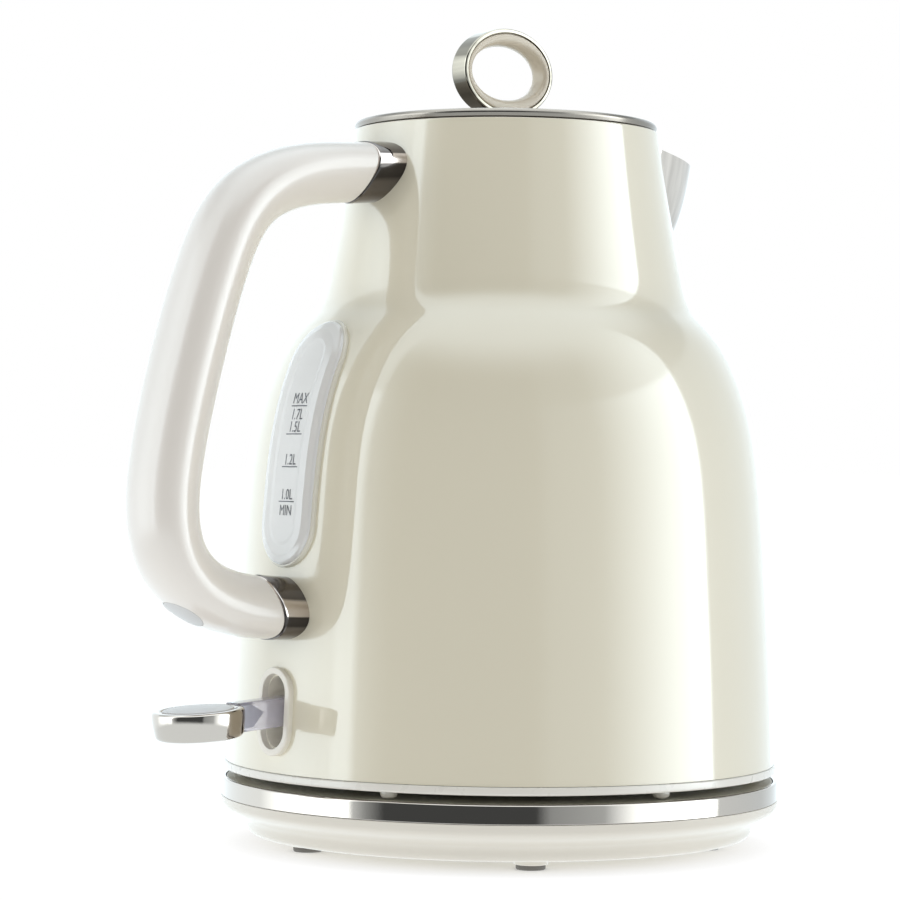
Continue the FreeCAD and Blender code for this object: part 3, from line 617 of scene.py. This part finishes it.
def shade_as_shell(mesh):
    """Exact normals for the wall's two curved sides, and bare steel for the inner one."""
    mesh.materials.append(MATERIALS["cream_enamel"])
    mesh.materials.append(MATERIALS["inner_steel"])
    normals = [(0.0, 0.0, 0.0)] * len(mesh.loops)
    for face in mesh.polygons:
        x, y, z = face.center
        radial, upward = shell_normal(z / MM)
        distance = math.hypot(x, y)
        outwards = Vector((x / distance * radial, y / distance * radial, upward))
        facing = face.normal.dot(outwards)
        if facing < -0.5:
            face.material_index = 1
        if abs(facing) < 0.97 or z / MM > NECK_TOP_Z - 0.5:
            continue
        side = math.copysign(1.0, facing)
        for loop in face.loop_indices:
            px, py, pz = mesh.vertices[mesh.loops[loop].vertex_index].co
            radial, upward = shell_normal(pz / MM)
            reach = math.hypot(px, py)
            normals[loop] = (px / reach * radial * side, py / reach * radial * side, upward * side)
    mesh.normals_split_custom_set(normals)


def make_body():
    body = mesh_object("kettle_body", turned(shell_outline(), 288))
    body.data.shade_smooth()
    passage = spout_rows(2.5, np.linspace(172.0, 205.0, 12), behind=30.0)
    combine(body, [
        side_cutter("window_cut", WINDOW_HALF_WIDTH - 3.0, WINDOW_HEIGHT - 6.0, WINDOW_CENTRE_Z),
        side_cutter("switch_cut", SLOT_HALF_WIDTH + 1.2, SLOT_HEIGHT + 2.4, SWITCH_Z),
        mesh_object("spout_cut", net(passage, capped=True)),
    ])
    shade_as_shell(body.data)
    settle(body, "cream_enamel", "jug", ["body_shell"], sharp=None, weighted=False)


# Spout

SPOUT_HEIGHTS = [166.0, 174.0, 184.0, 196.0, 212.0]
SPOUT_REACH = Curve(list(zip(SPOUT_HEIGHTS, [50.0, 57.2, 65.2, 70.2, 74.0])))
SPOUT_WIDTH = Curve(list(zip(SPOUT_HEIGHTS, [5.0, 11.5, 18.5, 23.0, 26.0])))
SPOUT_LIP = ((20.0, 211.4), (90.0, 201.6))


def profile_at(curve, height):
    """Second coordinate of a curve at a value of its first."""
    places, _ = curve.at(np.linspace(0.0, 1.0, 400))
    return float(np.interp(height, places[:, 0], places[:, 1]))


def spout_vee(z, inset):
    """Horizontal V-shaped curve of the spout at one height, from one flank round to the other."""
    reach = profile_at(SPOUT_REACH, z) - inset
    half = profile_at(SPOUT_WIDTH, z) - inset * 1.1
    root = 39.75
    flank = 45.75 + (reach - 45.75) * 0.55
    nose_half = min(6.0, half * 0.35) * 0.62
    side = [(20.0, -half), (root, -half), (flank, -half * 0.62), (reach - 2.2, -nose_half)]
    across = side + [(reach, 0.0)] + [(x, -y) for x, y in reversed(side)]
    places, _ = Curve(across[1:-1]).at(np.linspace(0.0, 1.0, 160))
    return np.concatenate([[across[0]], places, [across[-1]]])


def spout_rows(inset, heights, behind):
    """Closed rows of a solid inside the spout's skin, back to x = behind."""
    rows = []
    for z in heights:
        vee = spout_vee(z, inset)[1:-1:4]
        vee[:, 0] = np.maximum(vee[:, 0], behind)
        ends = np.array([[behind, vee[-1][1]], [behind, vee[0][1]]])
        loop = np.concatenate([vee, ends])
        rows.append(np.column_stack([loop, np.full(len(loop), z)]))
    return rows


def outside_jug(vee, z, count):
    """The part of a V outside the middle of the jug's wall, in equal steps."""
    limit = shell_radius(z) - 0.5
    reach = np.hypot(vee[:, 0], vee[:, 1])
    steps = np.concatenate([[0.0], np.cumsum(np.linalg.norm(np.diff(vee, axis=0), axis=1))])
    outside = np.flatnonzero(reach > limit)
    first, last = outside[0], outside[-1]
    start = np.interp(limit, [reach[first - 1], reach[first]], [steps[first - 1], steps[first]])
    end = np.interp(limit, [reach[last + 1], reach[last]], [steps[last + 1], steps[last]])
    places = np.linspace(start, end, count)
    return np.column_stack([np.interp(places, steps, vee[:, 0]), np.interp(places, steps, vee[:, 1])])


def make_spout():
    lowest = next(z for z in np.arange(166.0, 190.0, 0.1)
                  if profile_at(SPOUT_REACH, z) > shell_radius(z) - 0.2)
    rows = []
    for z in np.linspace(lowest, 211.8, 70):
        vee = outside_jug(spout_vee(z, 0.0), z, 72)
        rows.append(np.column_stack([vee, np.full(len(vee), z)]))
    spout = mesh_object("spout_skin", net(rows, wrap_across=False))
    (x0, z0), (x1, z1) = SPOUT_LIP
    work = bmesh.new()
    work.from_mesh(spout.data)
    bmesh.ops.bisect_plane(work, geom=work.verts[:] + work.edges[:] + work.faces[:], dist=1e-7,
                           plane_co=Vector((x0, 0.0, z0)) * MM, plane_no=Vector((z0 - z1, 0.0, x1 - x0)),
                           clear_outer=True)
    outward = sum(face.normal.x for face in work.faces)
    if outward < 0.0:
        bmesh.ops.reverse_faces(work, faces=work.faces)
    work.to_mesh(spout.data)
    work.free()
    thickness = spout.modifiers.new("wall", "SOLIDIFY")
    thickness.thickness = 1.0 * MM
    thickness.offset = -1.0
    edge = spout.modifiers.new("edge", "BEVEL")
    edge.width = 0.25 * MM
    edge.segments = 3
    edge.angle_limit = math.radians(60.0)
    apply_modifiers(spout)
    # The spout's look carries painted reflection streaks.
    settle(spout, "steel", "jug", ["spout"], look="spout_steel_painted_reflection")


# Handle

HANDLE = Curve(HANDLE_PATH)
HANDLE_STATIONS = 520
HANDLE_ANGLES = np.linspace(0.0, 2.0 * math.pi, 72, endpoint=False)


def handle_net():
    """Skin of the whole handle form: positions and outward directions by station and angle."""
    fractions = np.linspace(0.0, 1.0, HANDLE_STATIONS)
    places, tangents = HANDLE.at(fractions)
    steps = np.concatenate([[0.0], np.cumsum(np.linalg.norm(np.diff(places, axis=0), axis=1))])
    fullness = np.sin(math.pi * steps / steps[-1]) ** 0.7
    half_depth = (ARM_DEPTH + (GRIP_DEPTH - ARM_DEPTH) * fullness)[:, None] / 2.0
    half_width = (ARM_WIDTH + (GRIP_WIDTH - ARM_WIDTH) * fullness)[:, None] / 2.0
    over = half_depth * np.cos(HANDLE_ANGLES)
    across = half_width * np.sin(HANDLE_ANGLES) * (1.0 + EGG_SHARPNESS * np.cos(HANDLE_ANGLES))
    x = places[:, 0:1] + tangents[:, 1:2] * over
    z = places[:, 1:2] - tangents[:, 0:1] * over
    skin = np.stack([x, across, z], axis=-1)
    along = np.gradient(skin, axis=0)
    crosswise = np.roll(skin, -1, axis=1) - np.roll(skin, 1, axis=1)
    normals = np.cross(crosswise, along)
    normals /= np.linalg.norm(normals, axis=2, keepdims=True)
    centres = np.stack([places[:, 0], np.zeros(len(places)), places[:, 1]], axis=-1)[:, None, :]
    if np.sum(normals * (skin - centres)) < 0.0:
        normals = -normals
    return skin, normals


HANDLE_SKIN, HANDLE_NORMALS = handle_net()


def crossing(values, end):
    """Fractional station at which each line of values first changes sign, from its upper or lower end."""
    if end == "lower":
        return len(values) - 1 - crossing(values[::-1], "upper")
    sign = values > 0.0
    first = np.argmax(sign[1:] != sign[:-1], axis=0)
    columns = np.arange(values.shape[1])
    a, b = values[first, columns], values[first + 1, columns]
    return first + a / (a - b)


def seam_crossing(seam, end):
    """Fractional stations at which the handle's lines meet a collar's seam."""
    x, z, lean = seam
    normal = np.array([math.cos(math.radians(lean)), 0.0, -math.sin(math.radians(lean))])
    return crossing((HANDLE_SKIN - np.array([x, 0.0, z])) @ normal, end)


def handle_row(stations, grow):
    """Ring of points at fractional stations, one for each line, grown outwards."""
    stations = np.clip(stations, 0.0, HANDLE_STATIONS - 1.001)
    low = stations.astype(int)
    part = (stations - low)[:, None]
    columns = np.arange(len(stations))
    place = HANDLE_SKIN[low, columns] * (1 - part) + HANDLE_SKIN[low + 1, columns] * part
    normal = HANDLE_NORMALS[low, columns] * (1 - part) + HANDLE_NORMALS[low + 1, columns] * part
    return place + normal * grow


def station_step():
    """Millimetres of handle in one station."""
    places, _ = HANDLE.at(np.linspace(0.0, 1.0, HANDLE_STATIONS))
    return float(np.linalg.norm(np.diff(places, axis=0), axis=1).mean())


def make_grip():
    upper, lower = seam_crossing(UPPER_SEAM, "upper"), seam_crossing(LOWER_SEAM, "lower")
    step = station_step()
    edge = [(0.0, -1.2), (0.0, -0.45), (0.08, -0.2), (0.25, -0.05), (0.5, 0.0)]
    rows = [handle_row(upper + distance / step, grow) for distance, grow in edge]
    for fraction in np.linspace(0.0, 1.0, 260)[1:-1]:
        start, end = upper + 0.5 / step, lower - 0.5 / step
        rows.append(handle_row(start + (end - start) * fraction, 0.0))
    rows += [handle_row(lower - distance / step, grow) for distance, grow in reversed(edge)]
    grip = mesh_object("handle_grip", net(rows, capped=True))
    plug = mesh_object("handle_plug_cap", net(rows, capped=True))
    combine(grip, [plug_disc("plug_cut", PLUG_RADIUS + 0.12, 4.2)])
    settle(grip, "ivory_grip", "jug", ["handle_outer", "handle_inner"])
    combine(plug, [plug_disc("plug_core", PLUG_RADIUS, 5.5)], "INTERSECT")
    settle(plug, "ivory_grip", "jug", ["handle_plug"], look="plug_grey")


def plug_disc(name, radius, start):
    """Solid round bar that comes out through the handle's lower bend."""
    disc = mesh_object(name, turned([(0.0, start), (radius, start), (radius, 18.0), (0.0, 18.0)], 96))
    tilt = PLUG_ALONG.to_track_quat("Z", "Y").to_matrix().to_4x4()
    disc.data.transform(Matrix.Translation(PLUG_CENTRE * MM) @ tilt)
    return disc


def make_collar(name, node, seam, end):
    """Chrome collar with a rounded lip, from its seam to the middle of the jug's wall."""
    start = seam_crossing(seam, end)
    reach = np.hypot(HANDLE_SKIN[..., 0], HANDLE_SKIN[..., 1]) - (shell_radius(HANDLE_SKIN[..., 2]) - 0.5)
    root = crossing(reach, end)
    step = (1.0 if end == "lower" else -1.0) / station_step()
    proud = COLLAR_PROUD
    lip = [(0.02, -1.0), (0.02, -0.35), (0.12, -0.05), (0.32, proud - 0.1), (0.6, proud)]
    rows = [handle_row(start + step * distance, grow) for distance, grow in lip]
    start = start + step * 0.6
    for fraction in np.linspace(0.0, 1.0, 14)[1:]:
        rows.append(handle_row(start + (root - start) * fraction, proud))
    # The collar's look carries a painted reflection and painted shade.
    make_piece(name, net(rows), "chrome_trim", "jug", node, look="collar_chrome_painted_reflection")


# Level window

def make_window():
    slot = Slot(WINDOW_HALF_WIDTH, WINDOW_HEIGHT, WINDOW_CENTRE_Z)
    half, proud = WINDOW_HALF_WIDTH, WINDOW_PROUD
    face = [(0.0, LENS_FIELD), (4.9, LENS_FIELD), (5.3, LENS_FIELD + 0.03), (5.9, proud - 0.12),
            (6.4, proud), (8.6, proud), (9.0, proud - 0.04), (9.4, proud - 0.22), (10.5, proud - 0.3),
            (11.0, proud - 0.45), (half - 0.12, proud - 0.8), (half, proud - 1.2)]
    back = [(half, -0.1), (8.5, -0.1), (8.5, -1.0), (7.9, -1.0), (7.6, -0.7), (7.2, 0.5), (6.8, 0.85),
            (6.0, 0.9), (3.0, 0.9), (0.0, 0.9)]
    rows = [slot.on_side(distance, offset) for distance, offset in face + back]
    make_piece("window_lens_cover", net(rows), "clear_lens", "jug", "window_lens")

    wide = half + WINDOW_FRAME
    rim = [(wide, -0.2), (wide, 0.7), (wide - 0.15, 1.05), (wide - 0.4, 1.2), (half + 0.02, 1.2),
           (half + 0.02, -0.2)]
    frame_slot = Slot(wide, WINDOW_HEIGHT + 2 * WINDOW_FRAME, WINDOW_CENTRE_Z)
    rows = [frame_slot.on_side(distance, offset) for distance, offset in rim]
    make_piece("window_rim", net(rows, wrap_along=True), "lens_frame", "jug", "window_frame")


MARK_LINES = [128.8, 120.9, 111.7, 101.9]
MARK_WORDS = [("MAX", 128.8, 0.7), ("1.7L", 128.8, -3.8), ("1.5L", 120.9, 0.6), ("1.2L", 111.7, 0.6),
              ("1.0L", 101.9, 0.6), ("MIN", 101.9, -3.9)]
WORD_SIZE = 4.3
WORD_SQUEEZE = 0.74
MARK_MIDDLE_Y = -1.3
MARK_HALF_LENGTH = 3.6


def word_net(word, z):
    """Flat lettering laid on the lens with its lower edge at z."""
    data = bpy.data.curves.new("word", "FONT")
    data.body = word
    data.size = WORD_SIZE
    data.align_x = "CENTER"
    data.resolution_u = 3
    text = bpy.data.objects.new("word", data)
    bpy.context.collection.objects.link(text)
    shown = text.evaluated_get(bpy.context.evaluated_depsgraph_get())
    flat = bpy.data.meshes.new_from_object(shown)
    places = np.array([vertex.co for vertex in flat.vertices])
    faces = [tuple(face.vertices) for face in flat.polygons]
    bpy.data.objects.remove(text)
    bpy.data.meshes.remove(flat)
    y = MARK_MIDDLE_Y - places[:, 0] * WORD_SQUEEZE
    return on_side(y, z + places[:, 1], LENS_FIELD + 0.05), faces


def line_net(z):
    """Thin printed line across the lens."""
    y = MARK_MIDDLE_Y + np.linspace(-MARK_HALF_LENGTH, MARK_HALF_LENGTH, 12)
    return net([on_side(y, z + rise, LENS_FIELD + 0.05) for rise in (-0.14, 0.14)], wrap_across=False)


def make_marks():
    nets = [line_net(z) for z in MARK_LINES]
    nets += [word_net(word, z + shift) for word, z, shift in MARK_WORDS]
    make_piece("level_marks", joined(nets), "print_grey", "jug", "window_marks", sharp=None, weighted=False)


# Switch

def make_switch():
    half = BEZEL_HALF_WIDTH
    slot = Slot(half, 25.3, SWITCH_Z)
    inner = SLOT_HALF_WIDTH
    section = [(half, -0.3), (half, BEZEL_PROUD - 0.5), (half - 0.08, BEZEL_PROUD - 0.2),
               (half - 0.3, BEZEL_PROUD - 0.03), (half - 0.6, BEZEL_PROUD), (inner + 0.35, BEZEL_PROUD),
               (inner + 0.1, BEZEL_PROUD - 0.1), (inner, BEZEL_PROUD - 0.4), (inner, -0.3)]
    rows = [slot.on_side(distance, offset) for distance, offset in section]
    make_piece("switch_rim", net(rows, wrap_along=True), "beige_plastic", "jug", "switch_bezel")

    opening = Slot(inner, SLOT_HEIGHT, SWITCH_Z)
    wall = inner + 1.2
    rows = [opening.on_side(wall, -0.9), opening.on_side(wall, -0.25), opening.on_side(inner, -0.25)]
    floor_x = RECESS_FLOOR_X
    depths = [(inner, -74.0), (inner, -66.0), (inner - 0.05, -58.5), (inner - 0.4, -56.8),
              (inner - 1.2, -56.1), (inner - 2.0, floor_x), (0.0, floor_x), (0.0, floor_x + 1.2),
              (wall - 0.6, floor_x + 1.2), (wall, floor_x + 0.6)]
    rows += [opening.at_depth(distance, x) for distance, x in depths]
    # The recess's look is beige plastic with painted light.
    make_piece("switch_well", net(rows, wrap_along=True), "beige_plastic", "jug", "switch_recess",
               look="well_beige_painted_light")


def lever_place(piece):
    """Tilt a lever piece drawn level about the paddle's centre, and move it there."""
    piece.data.transform(Matrix.Translation(Vector((PADDLE_X, 0.0, PADDLE_Z)) * MM)
                         @ Matrix.Rotation(-LEVER_SLOPE, 4, "Y"))
    return piece


def stem_section(x, half_width, low, high, rounding):
    """Upright rounded rectangle across the lever at one x."""
    outline = rounded([(half_width, low, rounding), (half_width, high, rounding),
                       (-half_width, high, rounding), (-half_width, low, rounding)])
    return [(x, y, z) for y, z in outline]


def make_lever():
    radius, foot, top, bottom = PADDLE_RADIUS, PADDLE_FOOT_RADIUS, PADDLE_TOP, PADDLE_BOTTOM
    drum = rounded([(0.0, bottom, 0.0), (foot, bottom, 1.5), (radius, top - 3.2, 1.6),
                    (radius, top, 1.2), (radius - 2.2, top, 0.4), (radius - 2.6, top - 0.5, 0.2),
                    (0.0, top - 0.5, 0.0)], 8)
    settle(lever_place(mesh_object("paddle_drum", turned(drum, 160))), "chrome_trim", "switch_lever",
           ["paddle_band"])
    inset = rounded([(0.0, top - 0.5, 0.0), (radius - 3.0, top - 0.5, 0.0), (radius - 3.0, top + 0.1, 0.4),
                     (radius * 0.4, top + 0.4, 3.0), (0.0, top + 0.42, 0.0)], 6)
    # The inset's look is whitish plastic with painted shade.
    settle(lever_place(mesh_object("paddle_inset", turned(inset, 128))), "clear_stem", "switch_lever",
           ["paddle_cap"], look="inset_white_painted_shade")

    length = math.hypot(PADDLE_X - PIVOT_X, PIVOT_Z - PADDLE_Z)
    half_width, half_height = 3.5, 4.2
    rows = []
    for fraction in np.linspace(0.0, 1.0, 24):
        x = radius - 1.6 + (length - radius + 1.6) * fraction
        rows.append(stem_section(x, half_width, -half_height, half_height, 1.5))
    for turn in np.radians(np.linspace(0.0, 80.0, 9)[1:]):
        x = length + 4.0 * math.sin(turn)
        drop = half_height * math.cos(turn)
        rows.append(stem_section(x, half_width, -drop, drop, min(1.5, drop * 0.8)))
    stem = mesh_object("lever_stem_clear", net(rows, capped=True))
    settle(lever_place(stem), "clear_stem", "switch_lever", ["lever_stem"])
    make_stem_cores()


def make_stem_cores():
    """Darker arrow-shaped tongue that shows on both sides of the clear stem, next to the paddle."""
    start = PADDLE_RADIUS - 0.9
    outline = [(start, -3.1), (start + 3.6, -2.9), (start + 7.4, 0.9), (start + 3.4, 3.5), (start, 3.3)]
    middle = np.mean(outline, axis=0)
    tongues = []
    for side in (-1.0, 1.0):
        rows = []
        for spread, height in ((1.0, 3.45), (1.0, 3.56), (0.93, 3.6)):
            ring = middle + (np.array(outline) - middle) * spread
            rows.append(np.column_stack([ring[:, 0], np.full(len(ring), side * height), ring[:, 1]]))
        tongues.append(net(rows, capped=True))
    cores = mesh_object("lever_stem_tongues", joined(tongues))
    settle(lever_place(cores), "clear_stem", "switch_lever", [], look="stem_core")


# Lid

def make_lid():
    plate = rounded([
        (0.0, 213.8, 0.0), (43.2, 213.8, 0.0), (43.4, 212.8, 0.1), (44.9, 212.8, 0.3), (45.25, 214.2, 0.35),
        (44.6, 215.15, 0.5), (34.0, 216.45, 5.0), (20.0, 217.0, 6.0), (0.0, 217.2, 0.0),
    ], 6)
    make_piece("lid_cover", turned(plate, 288), "steel", "lid", "lid_plate")

    plug = rounded([
        (0.0, 201.0, 0.0), (42.3, 201.0, 1.2), (42.3, 213.8, 0.0), (40.3, 213.8, 0.0), (40.3, 203.0, 0.6),
        (5.0, 203.0, 0.0), (5.0, 213.8, 0.0), (0.0, 213.8, 0.0),
    ])
    make_piece("lid_plug_cup", turned(plug), "cream_plastic", "lid", "lid_plug")
    seal = rounded([(42.2, 208.0, 0.0), (44.3, 209.3, 0.3), (44.3, 210.3, 0.3), (42.2, 211.4, 0.0)])
    make_piece("lid_seal_lip", turned(seal), "silicone", "lid", "lid_seal")


def oval(half_sizes, inset, y, steps=160):
    """Upright oval ring of points at one depth, moved inwards from its outline."""
    angles = np.linspace(0.0, 2.0 * math.pi, steps, endpoint=False)
    a, b = half_sizes
    place = np.column_stack([a * np.cos(angles), b * np.sin(angles)])
    inwards = -np.column_stack([b * np.cos(angles), a * np.sin(angles)])
    inwards /= np.linalg.norm(inwards, axis=1, keepdims=True)
    place = place + inwards * inset
    return np.column_stack([place[:, 0] + KNOB_X, np.full(steps, y), place[:, 1] + KNOB_CENTRE_Z])


def make_knob():
    depth, wall = KNOB_HALF_DEPTH, KNOB_BAND_WALL
    section = [(wall, -depth + 0.15), (wall - 0.1, -depth), (0.45, -depth), (0.2, -depth + 0.12),
               (0.05, -depth + 0.35), (0.0, -depth + 0.7)]
    section += [(inset, -y) for inset, y in reversed(section)]
    rows = [oval(KNOB_OUTER, inset, y) for inset, y in section]
    # The knob band's look carries painted reflections.
    make_piece("knob_hoop", net(rows, wrap_along=True), "chrome_trim", "lid", "knob_band",
               look="knob_chrome_painted_reflection")

    face = depth - 0.05
    profile = [(0.0, -face + 0.9), (0.13, -face + 0.7), (0.19, -face + 0.12), (0.26, -face),
               (0.5, -face), (0.66, -face + 0.12), (0.8, -face + 0.5), (0.9, -face + 1.2),
               (0.97, -face + 2.1), (1.0, -0.5)]
    profile += [(part, -y) for part, y in reversed(profile)]
    rows = []
    for part, y in profile:
        rows.append(oval(KNOB_OUTER, wall - 0.3, y) * (1 - part) + oval(KNOB_HOLE, 0.0, y) * part)
    # The knob core's look is cream plastic with painted shade.
    make_piece("knob_core", net(rows, wrap_along=True), "cream_plastic", "lid", "knob_inner",
               look="knob_cream")


# Stage, lights and camera

CAMERA_PLACE = Vector((-0.5824, -0.7278, 0.11357))
CAMERA_HEADING = math.radians(52.3)
CAMERA_PITCH = 0.0041
CAMERA_ROLL = 0.0107
CAMERA_LENS = 124.27
AIM = Vector((0.0, 0.0, 0.12))


def add_camera():
    flat = math.cos(CAMERA_PITCH)
    forward = Vector((math.cos(CAMERA_HEADING) * flat, math.sin(CAMERA_HEADING) * flat,
                      math.sin(CAMERA_PITCH)))
    level = Vector((math.sin(CAMERA_HEADING), -math.cos(CAMERA_HEADING), 0.0))
    above = level.cross(forward)
    right = level * math.cos(CAMERA_ROLL) + above * math.sin(CAMERA_ROLL)
    top = above * math.cos(CAMERA_ROLL) - level * math.sin(CAMERA_ROLL)
    data = bpy.data.cameras.new("camera")
    data.sensor_width = 36.0
    data.lens = CAMERA_LENS
    camera = bpy.data.objects.new("camera", data)
    aimed = Matrix((right, top, -forward)).transposed().to_4x4()
    camera.matrix_world = Matrix.Translation(CAMERA_PLACE) @ aimed
    bpy.context.collection.objects.link(camera)
    bpy.context.scene.camera = camera


def from_camera(angle, distance, height):
    """Place at an angle round the kettle, measured from the camera's side towards its right."""
    turn = math.pi + CAMERA_HEADING + math.radians(angle)
    return Vector((distance * math.cos(turn), distance * math.sin(turn), height))


def add_softbox(name, angle, distance, height, width, tall, power):
    light = bpy.data.lights.new(name, "AREA")
    light.shape = "RECTANGLE"
    light.size = width
    light.size_y = tall
    light.energy = power
    lamp = bpy.data.objects.new(name, light)
    lamp.location = from_camera(angle, distance, height)
    lamp.rotation_mode = "QUATERNION"
    lamp.rotation_quaternion = (AIM - lamp.location).to_track_quat("-Z", "Y")
    lamp.visible_glossy = False
    bpy.context.collection.objects.link(lamp)


# Brightness of the studio by angle round the kettle from the camera's side, in degrees to its right
STUDIO_ROUND = [
    (-180.0, 1.0), (-115.0, 1.2), (-92.0, 2.5), (-76.0, 2.4), (-73.0, 3.0), (-66.0, 3.0), (-62.0, 0.8),
    (-56.0, 0.4), (-48.0, 0.08), (14.0, 0.08), (20.0, 0.42), (42.0, 0.60), (50.0, 1.3), (60.0, 2.2),
    (74.0, 3.5), (88.0, 4.5), (97.0, 4.6), (99.0, 0.9), (135.0, 0.75), (180.0, 1.0),
]
STUDIO_PEAK = 5.0
STUDIO_OVER_PANELS = 0.6
STUDIO_ABOVE = 1.7
STUDIO_BELOW = 1.0
# Heights between which the studio changes, as the upward part of a direction
STUDIO_PANEL_FOOT = (-0.29, -0.18)
STUDIO_PANEL_TOP = (0.49, 0.54)
STUDIO_CEILING = (0.64, 0.92)
STUDIO_IN_REFLECTIONS = 1.6
STUDIO_ELSEWHERE = 0.40
WHITE = (1.0, 1.0, 1.0, 1.0)
REFLECTION_TINT = (0.84, 0.94, 1.0, 1.0)
FLOOR_COLOUR = (0.92, 0.92, 0.91, 1.0)
FLOOR_FADE = (0.05, 0.09)  # metres from the kettle's axis
FLOOR_GLOW = (1.05, 0.95)  # as seen, and as it lights other things
FLOOR_HALF_SIZE = 30000.0


def add_world():
    """White studio with a dark side behind the camera and soft bright panels to its left and right."""
    world = bpy.data.worlds.new("studio")
    world.use_nodes = True
    graph = Graph(world.node_tree)
    graph.nodes.clear()

    direction = graph.add("ShaderNodeTexCoord").outputs["Generated"]
    rightward = graph.measure("DOT_PRODUCT", direction, from_camera(90.0, 1.0, 0.0))
    nearward = graph.measure("DOT_PRODUCT", direction, from_camera(0.0, 1.0, 0.0))
    upward = graph.measure("DOT_PRODUCT", direction, (0.0, 0.0, 1.0))
    angle = graph.math("ARCTAN2", rightward, nearward)
    turn = graph.math("ADD", graph.math("MULTIPLY", angle, 0.5 / math.pi), 0.5)
    stops = [(0.5 + degrees / 360.0, bright / STUDIO_PEAK) for degrees, bright in STUDIO_ROUND]
    walls = graph.math("MULTIPLY", graph.greys(turn, stops), STUDIO_PEAK)
    over_walls = graph.math("MULTIPLY", walls, STUDIO_OVER_PANELS)

    zones = [graph.scaled(upward, heights, style="SMOOTHSTEP")
             for heights in (STUDIO_PANEL_FOOT, STUDIO_PANEL_TOP, STUDIO_CEILING)]
    room_light = graph.mixed_numbers(zones[0], STUDIO_BELOW, walls)
    room_light = graph.mixed_numbers(zones[1], room_light, over_walls)
    room_light = graph.mixed_numbers(zones[2], room_light, STUDIO_ABOVE)

    rays = graph.add("ShaderNodeLightPath").outputs
    strength = graph.mixed_numbers(rays["Is Glossy Ray"], STUDIO_ELSEWHERE, STUDIO_IN_REFLECTIONS)
    strength = graph.math("MULTIPLY", strength, room_light)
    tint = graph.mixed_colours(rays["Is Glossy Ray"], WHITE, REFLECTION_TINT)
    room = graph.add("ShaderNodeBackground", {"Color": tint, "Strength": strength})
    backdrop = graph.add("ShaderNodeBackground", {"Color": WHITE})
    seen = graph.add("ShaderNodeMixShader", {"Fac": rays["Is Camera Ray"], 1: room.outputs["Background"],
                                             2: backdrop.outputs["Background"]})
    graph.add("ShaderNodeOutputWorld", {"Surface": seen.outputs["Shader"]})
    bpy.context.scene.world = world


def add_floor():
    """Plain pale floor that fades into the white studio away from the object."""
    material, graph, shader = new_material("floor_paper")
    shader.inputs["Base Color"].default_value = FLOOR_COLOUR
    shader.inputs["Roughness"].default_value = 0.9
    place = graph.add("ShaderNodeTexCoord").outputs["Object"]
    fade = graph.scaled(graph.measure("LENGTH", place), FLOOR_FADE, style="SMOOTHSTEP")
    diffuse = graph.add("ShaderNodeLightPath").outputs["Is Diffuse Ray"]
    glow = graph.add("ShaderNodeEmission", {"Strength": graph.scaled(diffuse, target=FLOOR_GLOW)})
    mix = graph.add("ShaderNodeMixShader", {"Fac": graph.math("MAXIMUM", fade, diffuse),
                                            1: shader.outputs["BSDF"], 2: glow.outputs["Emission"]})
    graph.feed(graph.nodes["Material Output"].inputs["Surface"], mix.outputs["Shader"])
    size = FLOOR_HALF_SIZE
    corners = [[(-size, -size, 0.0), (size, -size, 0.0)], [(-size, size, 0.0), (size, size, 0.0)]]
    floor = mesh_object("floor", net(corners, wrap_across=False))
    floor.data.materials.append(material)
    floor.visible_glossy = False


def add_lights():
    add_softbox("front_fill", 5.0, 2.2, 0.8, 1.8, 1.8, 6.5)
    add_softbox("handle_fill", -62.0, 1.8, 0.35, 1.2, 1.2, 3.0)
    add_softbox("above", 0.0, 0.05, 1.7, 1.2, 1.2, 3.0)


finish_cad_nodes()
make_base()
make_skirt()
make_body()
make_spout()
make_grip()
make_collar("upper_collar_band", "upper_collar", UPPER_SEAM, "upper")
make_collar("lower_collar_band", "lower_collar", LOWER_SEAM, "lower")
make_window()
make_marks()
make_switch()
make_lever()
make_lid()
make_knob()
add_floor()
add_world()
add_lights()
add_camera()
bpy.context.scene.view_settings.view_transform = "Standard"
